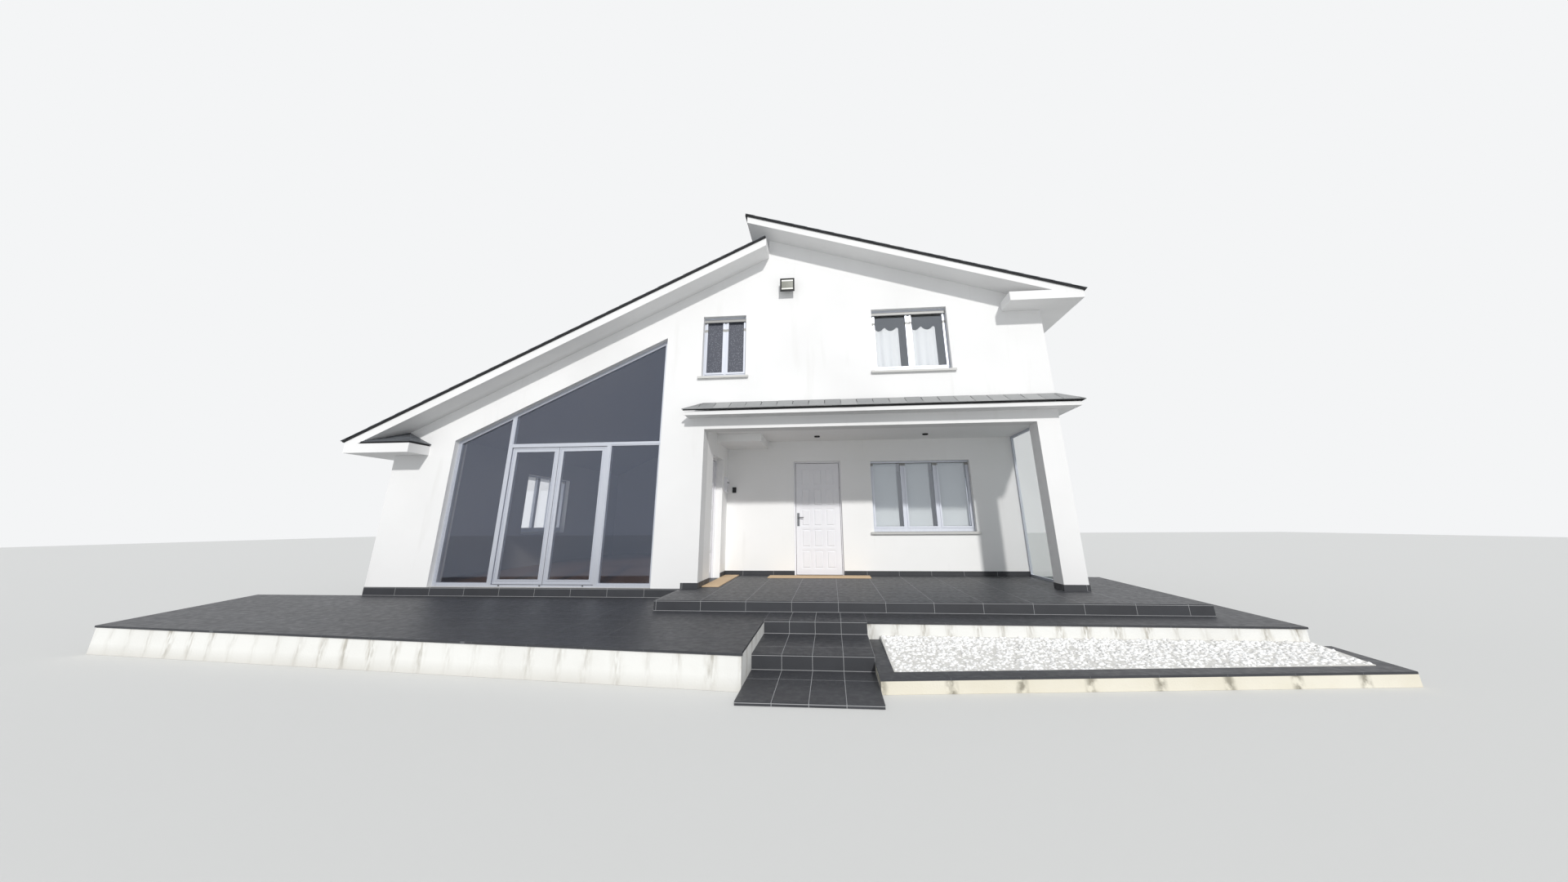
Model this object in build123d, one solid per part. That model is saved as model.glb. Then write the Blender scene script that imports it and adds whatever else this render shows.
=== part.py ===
from build123d import *
import math
import os

# Beach house with a glazed gable, an open porch and tiled terraces, in millimetres.
# While it is built up, x runs along the front from the left outer corner, y runs from the
# front wall face into the house and z is the height above the ground. At the end all is
# moved so that the origin lies under the middle of the whole footprint.

# Heights of the floors
TERRACE_TOP = 300
PORCH_STEP = 128
STOREY_CLEAR = 2600
SLAB_T = 200
FLOOR_TOP = TERRACE_TOP + PORCH_STEP
CEILING = FLOOR_TOP + STOREY_CLEAR
UPPER_FLOOR = CEILING + SLAB_T

# Front, from the left corner to the right one
STRIP_W = 1100
GLAZING_W = 3760
PIER_W = 750
PORCH_W = 5450
COLUMN_W = 350
GLAZING_L = STRIP_W
GLAZING_R = STRIP_W + GLAZING_W
PORCH_L = GLAZING_R + PIER_W
PORCH_R = PORCH_L + PORCH_W
HOUSE_W = PORCH_R + COLUMN_W
HOUSE_D = 9000
WALL = 300
COLUMN_D = 330
PORCH_D = 2050
PORCH_BACK = PORCH_D + WALL
BEAM_DROP = 95

# Roof: two planes that pass each other at the ridge
LEFT_SLOPE = 26.0
RIGHT_SLOPE = 17.8
RIDGE_X = 6715
LEFT_WALL_TOP = 2890
RIDGE_STEP = 382
LEFT_ROOF_T = 135
RIGHT_ROOF_T = 120
SLATE_T = 45
SLATE_LIP = 40
VERGE_OUT = 450
LEFT_EAVE_OUT = 555
RIGHT_EAVE_OUT = 525
RIDGE_OVERSAIL = 350
RIDGE_WALL_T = 150
LEFT_EAVE_DROP = 40
RETURN_IN = 640
RETURN_H = 155

# Lean-to roof band over the porch, wrapped round the right corner
BAND_OUT = 260
BAND_BASE = 3126
BAND_FASCIA = 64
BAND_EDGE = 39
BAND_SLOPE = 30.4
HIP_SLOPE = 26.0
BAND_LEFT_OUT = 280
BAND_SIDE_L = 2350

# Openings
GLAZING_EDGE_H = 4630
GLAZING_HEAD_SLOPE = 25.6
FRONT_DOOR_X = 6980
FRONT_DOOR_W = 960
DOOR_H = 2180
SIDE_DOOR_Y = 730
SIDE_DOOR_W = 850
TRIPLE_W = 1955
TRIPLE_H = 1403
TRIPLE_SILL = 758
UPPER_SILL = 608
SIDE_SILL = 430
UPPER_W = 1298
UPPER_H = 1180
SMALL_W = 785
PORCH_WINDOW_X = 8547
UPPER_WINDOW_X = 8545
SMALL_WINDOW_X = 5514

# Aluminium glazing
FRAME_SET = 100
FRAME_D = 80
FRAME_W = 60
MULLION_W = 80
MULLION_X = 2050
FRENCH_W = 1745
TRANSOM_H = 65
LEAF_TOP = 2270
LEAF_STILE = 80
LEAF_RAIL = 70
LEAF_D = 60
LEAF_STEP = 22
BEAD_W = 18
BEAD_D = 8
RUNNING_GAP = 8
GLASS_T = 12

# Windows
WINDOW_SET = 120
WINDOW_D = 60
WINDOW_FRAME = 58
WINDOW_HEAD = 35
WINDOW_FOOT = 95
WINDOW_POST = 105
SHUTTER_HIGH = 85
SHUTTER_LOW = 35
SHUTTER_SET = 80
SASH_W = 32
SASH_OUT = 12
SILL_T = 40
SILL_OUT = 50
SILL_SIDE = 58
SILL_FALL = 5
SILL_DRIP = 8

# Doors
DOOR_T = 45
DOOR_FRAME = 30
DOOR_FRAME_D = 70
DOOR_SET = 60
DOOR_STILE = 105
DOOR_RAIL = 55
PANEL_W = 290
PANEL_H = 430
GROOVE_W = 24
GROOVE_D = 9
SIDE_DOOR_SET = 130
HANDLE_H = 1035
PLATE_W = 46
PLATE_H = 250
PLATE_T = 8
PLATE_INSET = 21
NECK_L = 38
LEVER_R = 9
LEVER_L = 118
LEVER_UP = 40
HINGE_R = 9
HINGE_L = 110
HINGE_END = 200
HINGE_ARM = 4
HINGE_PLAY = 0.3

# Terraces, steps and planter
TILE_T = 20
TILE_LIP = 12
PLATFORM_OUT = 1150
PLATFORM_L = 5340
PLATFORM_R = 12250
STEP_L = 6888
STEP_W = 1200
TREAD = 930
TOP_TREAD = 576
LANDING = 872
LANDING_T = 30
TERRACE_FRONT_L = 3216
TERRACE_CORNER_X = -853
TERRACE_CORNER_Y = 2486
TERRACE_BACK_X = -1896
RIGHT_END_X = 12735
RIGHT_BACK_X = 13150
RIGHT_BACK_Y = 3274
KERB_W = 190
KERB_SIDE_W = 140
KERB_H = 120
KERB_FRONT_L = 3197
KERB_FRONT_R = 2650
KERB_FRONT_R_X = 12780
GRAVEL_EDGE = 95
GRAVEL_WALL = 160

# Small fittings
SKIRT_H = 85
SKIRT_T = 10
SCREEN_IN = 10
SCREEN_FRAME = 40
BOX_DROP = 150
BOX_W = 840
BOX_L = 1030
LAMP_X = 7065
LAMP_Z = 5520
LAMP_W = 260
LAMP_H = 250
LAMP_D = 90
LAMP_RIM = 30
LAMP_ARM = 60
LETTERBOX_Y = 1720
LETTERBOX_Z = 2000
LETTERBOX_W = 220
LETTERBOX_H = 300
LETTERBOX_D = 60

# How far a cutting shape runs past the faces that it cuts
PAST = 1

left_rise = math.tan(math.radians(LEFT_SLOPE))
right_rise = math.tan(math.radians(RIGHT_SLOPE))
band_rise = math.tan(math.radians(BAND_SLOPE))
RIGHT_WALL_TOP = LEFT_WALL_TOP + left_rise * RIDGE_X + RIDGE_STEP - right_rise * (HOUSE_W - RIDGE_X)
LEFT_ROOF_V = LEFT_ROOF_T / math.cos(math.radians(LEFT_SLOPE))
RIGHT_ROOF_V = RIGHT_ROOF_T / math.cos(math.radians(RIGHT_SLOPE))
LEFT_SLATE_V = SLATE_T / math.cos(math.radians(LEFT_SLOPE))
RIGHT_SLATE_V = SLATE_T / math.cos(math.radians(RIGHT_SLOPE))
STEP_R = STEP_L + STEP_W
TERRACE_FRONT_R = PLATFORM_OUT + TOP_TREAD

parts = {}


def left_under(x):
    return LEFT_WALL_TOP + left_rise * x


def right_under(x):
    return RIGHT_WALL_TOP + right_rise * (HOUSE_W - x)


def glazing_head(x):
    rise = math.tan(math.radians(GLAZING_HEAD_SLOPE))
    return GLAZING_EDGE_H - rise * (GLAZING_R - x)


def block(x0, x1, y0, y1, z0, z1):
    return Pos((x0 + x1) / 2, (y0 + y1) / 2, (z0 + z1) / 2) * Box(x1 - x0, y1 - y0, z1 - z0)


def front_shape(points, y0, y1):
    """A shape drawn on the front, (x, z) points, from y0 back to y1."""
    face = make_face(Polyline(*[(x, y0, z) for x, z in points], close=True))
    return extrude(face, amount=y1 - y0, dir=(0, 1, 0))


def side_shape(points, x0, x1):
    """A shape drawn on the side, (y, z) points, from x0 to x1."""
    face = make_face(Polyline(*[(x0, y, z) for y, z in points], close=True))
    return extrude(face, amount=x1 - x0, dir=(1, 0, 0))


def plan_shape(points, z0, z1):
    face = make_face(Polyline(*[(x, y, z0) for x, y in points], close=True))
    return extrude(face, amount=z1 - z0, dir=(0, 0, 1))


def group(shapes):
    """Like pieces that stand apart, kept together as one part."""
    return Compound([shape.solid() for shape in shapes])


def join(solids):
    result = solids[0]
    for solid in solids[1:]:
        result = result + solid
    return result


# Each window is given by its wall, its lower corner along that wall, its sill height and kind.
ROOM_L = PORCH_L - WALL
LOW_SILL = FLOOR_TOP + TRIPLE_SILL
HIGH_SILL = UPPER_FLOOR + UPPER_SILL
windows = [
    ("porch", PORCH_WINDOW_X, LOW_SILL, "triple"),
    ("front", UPPER_WINDOW_X, HIGH_SILL, "double"),
    ("front", SMALL_WINDOW_X, HIGH_SILL, "small"),
    ("rear", (ROOM_L - TRIPLE_W) / 2, LOW_SILL, "triple"),
    ("rear", (ROOM_L + HOUSE_W - TRIPLE_W) / 2, LOW_SILL, "triple"),
    ("rear", UPPER_WINDOW_X, HIGH_SILL, "double"),
    ("rear", ROOM_L + WALL + WINDOW_POST, HIGH_SILL, "small"),
    ("left", (HOUSE_D - TRIPLE_W) / 2, LOW_SILL, "triple"),
    ("right", (PORCH_BACK + HOUSE_D - TRIPLE_W) / 2, LOW_SILL, "triple"),
    ("right", (HOUSE_D - UPPER_W) / 2, UPPER_FLOOR + SIDE_SILL, "double")]


def window_size(window):
    """Width, height and number of panes."""
    sizes = {"triple": (TRIPLE_W, TRIPLE_H, 3), "double": (UPPER_W, UPPER_H, 2),
             "small": (SMALL_W, UPPER_H, 2)}
    return sizes[window[3]]


def on_wall(window, shape):
    """Places a shape drawn at a window's own corner, x along the wall and y into it."""
    wall, start, sill = window[:3]
    width = window_size(window)[0]
    if wall == "front":
        return Pos(start, 0, sill) * shape
    if wall == "porch":
        return Pos(start, PORCH_D, sill) * shape
    if wall == "rear":
        return Pos(start + width, HOUSE_D, sill) * Rot(0, 0, 180) * shape
    if wall == "left":
        return Pos(0, start + width, sill) * Rot(0, 0, -90) * shape
    return Pos(HOUSE_W, start, sill) * Rot(0, 0, 90) * shape


def window_hole(window):
    width, height = window_size(window)[:2]
    return on_wall(window, block(0, width, -WALL, 2 * WALL, 0, height))


def pane_spans(width, count):
    """Clear spans between the frame's sides and posts, left to right."""
    clear = (width - 2 * WINDOW_FRAME - (count - 1) * WINDOW_POST) / count
    spans = []
    for number in range(count):
        left = WINDOW_FRAME + number * (clear + WINDOW_POST)
        spans.append((left, left + clear))
    return spans


def window_frame(window):
    width, height, count = window_size(window)
    frame = block(0, width, WINDOW_SET, WINDOW_SET + WINDOW_D, SILL_T, height)
    foot, head = SILL_T + WINDOW_FOOT, height - WINDOW_HEAD
    for left, right in pane_spans(width, count):
        sash = block(left - SASH_W, right + SASH_W, WINDOW_SET - SASH_OUT, WINDOW_SET,
                     foot - SASH_W, head + SASH_W)
        frame += sash
        frame -= block(left, right, WINDOW_SET - SASH_OUT - PAST, WINDOW_SET + WINDOW_D + PAST,
                       foot, head)
    return on_wall(window, frame)


def window_panes(window):
    width, height, count = window_size(window)
    back = WINDOW_SET + (WINDOW_D + GLASS_T) / 2
    return [on_wall(window, block(left, right, back - GLASS_T, back, SILL_T + WINDOW_FOOT,
                                  height - WINDOW_HEAD))
            for left, right in pane_spans(width, count)]


def window_sill(window):
    """A sill slab: its tongue lies in the opening and its nose runs past both sides."""
    width = window_size(window)[0]
    tongue = side_shape([(0, 0), (WINDOW_SET + WINDOW_D, 0), (WINDOW_SET + WINDOW_D, SILL_T),
                         (WINDOW_SET, SILL_T), (0, SILL_T - SILL_FALL)], 0, width)
    nose = side_shape([(0, 0), (0, SILL_T - SILL_FALL), (-SILL_OUT, SILL_T - 2 * SILL_FALL),
                       (-SILL_OUT, -SILL_DRIP), (-SILL_OUT + SILL_DRIP, -SILL_DRIP),
                       (-SILL_OUT + SILL_DRIP, 0)], -SILL_SIDE, width + SILL_SIDE)
    return on_wall(window, tongue + nose)


def shutter_box(window):
    """The lower edge of the roller shutter's case, under the lintel and against the sashes."""
    width, height = window_size(window)[:2]
    tall = SHUTTER_LOW if window[3] == "triple" else SHUTTER_HIGH
    return on_wall(window, block(0, width, SHUTTER_SET, WINDOW_SET - SASH_OUT, height - tall, height))


def cut_windows(solid, wall):
    for window in windows:
        if window[0] == wall:
            solid -= window_hole(window)
    return solid


# Terraces: rendered masonry with a tiled top
left_terrace_plan = [
    (TERRACE_BACK_X, 0), (TERRACE_CORNER_X, -TERRACE_CORNER_Y), (STEP_L, -TERRACE_FRONT_L),
    (STEP_L, -PLATFORM_OUT), (PLATFORM_L, -PLATFORM_OUT), (PLATFORM_L, 0)]
right_terrace_plan = [
    (STEP_R, -PLATFORM_OUT), (STEP_R, -TERRACE_FRONT_R), (RIGHT_END_X, -TERRACE_FRONT_R),
    (RIGHT_BACK_X, RIGHT_BACK_Y), (HOUSE_W, RIGHT_BACK_Y), (HOUSE_W, PORCH_D),
    (PLATFORM_R, PORCH_D), (PLATFORM_R, -PLATFORM_OUT)]


def make_terraces():
    plans = (left_terrace_plan, right_terrace_plan)
    tile_foot = TERRACE_TOP - TILE_T
    parts["terrace_walls"] = group(plan_shape(plan, 0, tile_foot) for plan in plans)
    carried = [block(PLATFORM_L, PLATFORM_R, -PLATFORM_OUT, HOUSE_D, tile_foot, TERRACE_TOP),
               block(-LEFT_EAVE_OUT, HOUSE_W, 0, HOUSE_D, tile_foot, TERRACE_TOP),
               block(STEP_L, STEP_R, -TERRACE_FRONT_L, -PLATFORM_OUT, tile_foot, TERRACE_TOP),
               block(TERRACE_BACK_X - TILE_LIP, 0, 0, HOUSE_D, tile_foot, TERRACE_TOP)]
    tiles = []
    for plan in plans:
        outline = make_face(Polyline(*[(x, y, tile_foot) for x, y in plan], close=True))
        slab = extrude(offset(outline, TILE_LIP, kind=Kind.INTERSECTION), amount=TILE_T, dir=(0, 0, 1))
        for shape in carried:
            slab -= shape
        tiles.append(slab)
    parts["terrace_tiles"] = group(tiles)


def make_platform():
    front = block(PLATFORM_L, PLATFORM_R, -PLATFORM_OUT, 0, 0, FLOOR_TOP)
    under_porch = block(PORCH_L - WALL, PLATFORM_R, 0, PORCH_D, 0, FLOOR_TOP)
    parts["porch_platform"] = front + under_porch


def make_steps():
    """Three treads between the terraces; each one starts where the one above ends."""
    rise = (TERRACE_TOP - LANDING_T) / 2
    top = block(STEP_L, STEP_R, -TERRACE_FRONT_R, -PLATFORM_OUT, 0, TERRACE_TOP)
    middle = block(STEP_L, STEP_R, -TERRACE_FRONT_R - TREAD, -TERRACE_FRONT_R, 0,
                   LANDING_T + rise)
    front = -TERRACE_FRONT_R - TREAD
    landing = block(STEP_L, STEP_R, front - LANDING, front, 0, LANDING_T)
    parts["entry_steps"] = join([top, middle, landing])


def make_planter():
    outer = [(STEP_R, -TERRACE_FRONT_R), (STEP_R, -KERB_FRONT_L),
             (KERB_FRONT_R_X, -KERB_FRONT_R), (RIGHT_END_X + KERB_W, -TERRACE_FRONT_R)]
    skew = (KERB_FRONT_L - KERB_FRONT_R) / (KERB_FRONT_R_X - STEP_R)
    lean = (KERB_FRONT_R_X - RIGHT_END_X - KERB_W) / (KERB_FRONT_R - TERRACE_FRONT_R)

    def front_line(x):
        """How far the kerb's inner front edge lies before the wall face."""
        return KERB_FRONT_L - KERB_W - skew * (x - STEP_R)

    inner_l = STEP_R + KERB_SIDE_W
    corner = front_line(RIGHT_END_X - lean * TERRACE_FRONT_R) / (1 + skew * lean)
    inner = [(inner_l, -TERRACE_FRONT_R), (inner_l, -front_line(inner_l)),
             (RIGHT_END_X + lean * (corner - TERRACE_FRONT_R), -corner),
             (RIGHT_END_X, -TERRACE_FRONT_R)]
    cap_z = KERB_H - TILE_T
    wall = plan_shape(outer, 0, cap_z) - plan_shape(inner, -PAST, KERB_H + PAST)
    parts["planter_kerb"] = wall
    cap = plan_shape(outer, cap_z, KERB_H)
    parts["planter_kerb_tiles"] = cap - plan_shape(inner, -PAST, KERB_H + PAST)
    bed = plan_shape(inner, 0, GRAVEL_WALL)
    slope = [(-KERB_FRONT_L, GRAVEL_EDGE), (-TERRACE_FRONT_R, GRAVEL_WALL),
             (-TERRACE_FRONT_R, 2 * GRAVEL_WALL), (-KERB_FRONT_L, 2 * GRAVEL_WALL)]
    parts["gravel_bed"] = bed - side_shape(slope, STEP_R - WALL, RIGHT_BACK_X)


def make_floors():
    base = block(0, HOUSE_W, 0, HOUSE_D, 0, FLOOR_TOP)
    base -= block(PORCH_L - WALL, HOUSE_W + PAST, -PAST, PORCH_D, -PAST, FLOOR_TOP + PAST)
    parts["ground_floor"] = base
    parts["upper_floor"] = block(ROOM_L, HOUSE_W, WALL, HOUSE_D - WALL, CEILING, UPPER_FLOOR)


def make_front_walls():
    """The front is split at the glazing, the porch beam and the foot of the upper wall."""
    parts["front_wall_left"] = front_shape(
        [(0, FLOOR_TOP), (GLAZING_L, FLOOR_TOP), (GLAZING_L, left_under(GLAZING_L)),
         (0, left_under(0))], 0, WALL)
    parts["front_wall_over_glazing"] = front_shape(
        [(GLAZING_L, glazing_head(GLAZING_L)), (GLAZING_R, glazing_head(GLAZING_R)),
         (GLAZING_R, left_under(GLAZING_R)), (GLAZING_L, left_under(GLAZING_L))], 0, WALL)
    parts["front_pier"] = block(GLAZING_R, PORCH_L, 0, WALL, FLOOR_TOP, UPPER_FLOOR)
    upper = front_shape(
        [(GLAZING_R, UPPER_FLOOR), (HOUSE_W, UPPER_FLOOR), (HOUSE_W, right_under(HOUSE_W)),
         (RIDGE_X, right_under(RIDGE_X)), (RIDGE_X, left_under(RIDGE_X)),
         (GLAZING_R, left_under(GLAZING_R))], 0, WALL)
    parts["front_wall_upper"] = cut_windows(upper, "front")
    parts["porch_beam"] = block(PORCH_L, HOUSE_W, 0, WALL, CEILING - BEAM_DROP, UPPER_FLOOR)
    parts["porch_column"] = block(PORCH_R, HOUSE_W, 0, COLUMN_D, FLOOR_TOP, CEILING - BEAM_DROP)


def make_porch_walls():
    door_head = FLOOR_TOP + DOOR_H
    front_door_r = FRONT_DOOR_X + FRONT_DOOR_W
    side_door_back = SIDE_DOOR_Y + SIDE_DOOR_W
    parts["porch_back_wall_left"] = block(PORCH_L, FRONT_DOOR_X, PORCH_D, PORCH_BACK,
                                          FLOOR_TOP, CEILING)
    right = block(front_door_r, HOUSE_W, PORCH_D, PORCH_BACK, FLOOR_TOP, CEILING)
    parts["porch_back_wall_right"] = cut_windows(right, "porch")
    side_front = block(ROOM_L, PORCH_L, WALL, SIDE_DOOR_Y, FLOOR_TOP, CEILING)
    side_back = block(ROOM_L, PORCH_L, side_door_back, PORCH_BACK, FLOOR_TOP, CEILING)
    parts["porch_side_walls"] = group([side_front, side_back])
    front_head = block(FRONT_DOOR_X, front_door_r, PORCH_D, PORCH_BACK, door_head, CEILING)
    side_head = block(ROOM_L, PORCH_L, SIDE_DOOR_Y, side_door_back, door_head, CEILING)
    parts["door_heads"] = group([front_head, side_head])


def make_outer_walls():
    back = HOUSE_D - WALL
    left = front_shape([(0, FLOOR_TOP), (WALL, FLOOR_TOP), (WALL, left_under(WALL)),
                        (0, left_under(0))], WALL, back)
    parts["left_wall"] = cut_windows(left, "left")
    lower = block(HOUSE_W - WALL, HOUSE_W, PORCH_BACK, back, FLOOR_TOP, CEILING)
    upper = front_shape(
        [(HOUSE_W - WALL, UPPER_FLOOR), (HOUSE_W, UPPER_FLOOR), (HOUSE_W, right_under(HOUSE_W)),
         (HOUSE_W - WALL, right_under(HOUSE_W - WALL))], WALL, back)
    parts["right_wall"] = group(cut_windows(wall, "right") for wall in (lower, upper))
    rear_left_wall = front_shape(
        [(0, FLOOR_TOP), (ROOM_L, FLOOR_TOP), (ROOM_L, left_under(ROOM_L)),
         (0, left_under(0))], back, HOUSE_D)
    parts["rear_wall_left"] = cut_windows(rear_left_wall, "rear")
    rear_right = front_shape(
        [(ROOM_L, FLOOR_TOP), (HOUSE_W, FLOOR_TOP), (HOUSE_W, right_under(HOUSE_W)),
         (RIDGE_X, right_under(RIDGE_X)), (RIDGE_X, left_under(RIDGE_X)),
         (ROOM_L, left_under(ROOM_L))], back, HOUSE_D)
    parts["rear_wall_right"] = cut_windows(rear_right, "rear")
    parts["ridge_wall"] = front_shape(
        [(RIDGE_X, left_under(RIDGE_X) - LEFT_ROOF_V),
         (RIDGE_X + RIDGE_WALL_T, left_under(RIDGE_X) - LEFT_ROOF_V),
         (RIDGE_X + RIDGE_WALL_T, right_under(RIDGE_X + RIDGE_WALL_T)),
         (RIDGE_X, right_under(RIDGE_X))], WALL, back)


def slab_outline(under, x0, x1, lift, thick):
    return [(x0, under(x0) + lift), (x1, under(x1) + lift),
            (x1, under(x1) + lift + thick), (x0, under(x0) + lift + thick)]


def make_roof():
    """Two rendered slabs with boxed eaves, which return a short way onto both gables."""
    front, back = -VERGE_OUT, HOUSE_D + VERGE_OUT
    left_x = -LEFT_EAVE_OUT
    right_x = HOUSE_W + RIGHT_EAVE_OUT
    high_x = RIDGE_X - RIDGE_OVERSAIL
    left_slab = front_shape(
        slab_outline(left_under, left_x, RIDGE_X, 0, LEFT_ROOF_V), front, back)
    left_slates = front_shape(
        slab_outline(left_under, left_x - SLATE_LIP, RIDGE_X, LEFT_ROOF_V, LEFT_SLATE_V),
        front - SLATE_LIP, back + SLATE_LIP)
    right_slab = front_shape(
        slab_outline(right_under, high_x, right_x, 0, RIGHT_ROOF_V), front, back)
    right_slates = front_shape(
        slab_outline(right_under, high_x - SLATE_LIP, right_x + SLATE_LIP, RIGHT_ROOF_V,
                     RIGHT_SLATE_V), front - SLATE_LIP, back + SLATE_LIP)
    parts["roof_slates"] = group([left_slates, right_slates])

    soffit = left_under(left_x) - LEFT_EAVE_DROP
    run = front_shape([(left_x, soffit), (0, soffit), (0, left_under(0)),
                       (left_x, left_under(left_x))], 0, HOUSE_D)
    top = soffit + RETURN_H
    block_l = block(left_x, RETURN_IN, -VERGE_OUT, 0, soffit, top)
    returns = [block_l, Pos(0, HOUSE_D + VERGE_OUT, 0) * block_l]
    past_l = left_x - PAST
    roof_cut = front_shape([(past_l, left_under(past_l)), (RIDGE_X, left_under(RIDGE_X)),
                            (past_l, left_under(RIDGE_X))], front - PAST, back + PAST)
    parts["left_roof"] = join([left_slab, run] + [item - roof_cut for item in returns])

    hip_h = math.tan(math.radians(HIP_SLOPE)) * VERGE_OUT
    hip = lean_to(left_x, RETURN_IN, -VERGE_OUT, 0, top, hip_h)
    hip_back = mirror(hip, about=Plane.XZ.offset(-HOUSE_D / 2))
    return_slates = [hip - roof_cut, hip_back - roof_cut]

    soffit_r = right_under(right_x)
    run_r = front_shape([(HOUSE_W, soffit_r), (right_x, soffit_r), (HOUSE_W, right_under(HOUSE_W))],
                        0, HOUSE_D)
    block_r = block(HOUSE_W - RETURN_IN, right_x, -VERGE_OUT, 0, soffit_r, soffit_r + RETURN_H)
    returns_r = [block_r, Pos(0, HOUSE_D + VERGE_OUT, 0) * block_r]
    past_r = right_x + PAST
    cut_r = front_shape([(RIDGE_X, right_under(RIDGE_X)), (past_r, right_under(past_r)),
                         (past_r, right_under(RIDGE_X))], front - PAST, back + PAST)
    parts["right_roof"] = join([right_slab, run_r] + [item - cut_r for item in returns_r])
    return return_slates


def lean_to(x0, x1, y0, y1, z, height):
    """A small lean-to against the wall at y1, hipped at its right end."""
    run = y1 - y0
    wedge = side_shape([(y0, z), (y1, z), (y1, z + height)], x0, x1)
    top = z + height + PAST
    hip = front_shape([(x1 - run, z + height), (x1, z), (x1 + PAST, z), (x1 + PAST, top),
                       (x1 - run, top)], y0 - PAST, y1 + PAST)
    return wedge - hip


def make_band(return_slates):
    """The porch roof: a boxed eave with a hipped slate top, round two sides of the corner."""
    left = PORCH_L - BAND_LEFT_OUT
    right = HOUSE_W + BAND_OUT
    front = -BAND_OUT
    end = BAND_SIDE_L
    top = BAND_BASE + BAND_FASCIA
    base = plan_shape([(left, 0), (left, front), (right, front), (right, end), (HOUSE_W, end),
                       (HOUSE_W, 0)], BAND_BASE, top)
    parts["porch_roof"] = base
    lip = SLATE_LIP
    run = BAND_OUT + lip
    edge_top = top + BAND_EDGE
    height = edge_top + run * band_rise
    slate_l, slate_r, slate_f, slate_b = left - lip, right + lip, front - lip, end + lip
    front_piece = side_shape([(slate_f, top), (0, top), (0, height), (slate_f, edge_top)],
                             slate_l, slate_r)
    side_piece = front_shape([(slate_r, top), (HOUSE_W, top), (HOUSE_W, height),
                              (slate_r, edge_top)], slate_f, slate_b)

    def above(edge, inner, outward):
        """The outline of what lies over a slope that rises from its edge to an inner line."""
        past = edge + outward * PAST
        over = height + PAST
        return [(edge, edge_top), (inner, height), (inner, over), (past, over), (past, edge_top)]

    left_hip = front_shape(above(slate_l, slate_l + run, -1), slate_f - PAST, PAST)
    right_cut = front_shape(above(slate_r, HOUSE_W, 1), slate_f - PAST, PAST)
    front_cut = side_shape(above(slate_f, 0, -1), HOUSE_W - PAST, slate_r + PAST)
    back_hip = side_shape(above(slate_b, slate_b - run, 1), HOUSE_W - PAST, slate_r + PAST)
    slates = (front_piece - left_hip - right_cut) + (side_piece - front_cut - back_hip)
    parts["small_roof_slates"] = group([slates] + return_slates)


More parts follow.
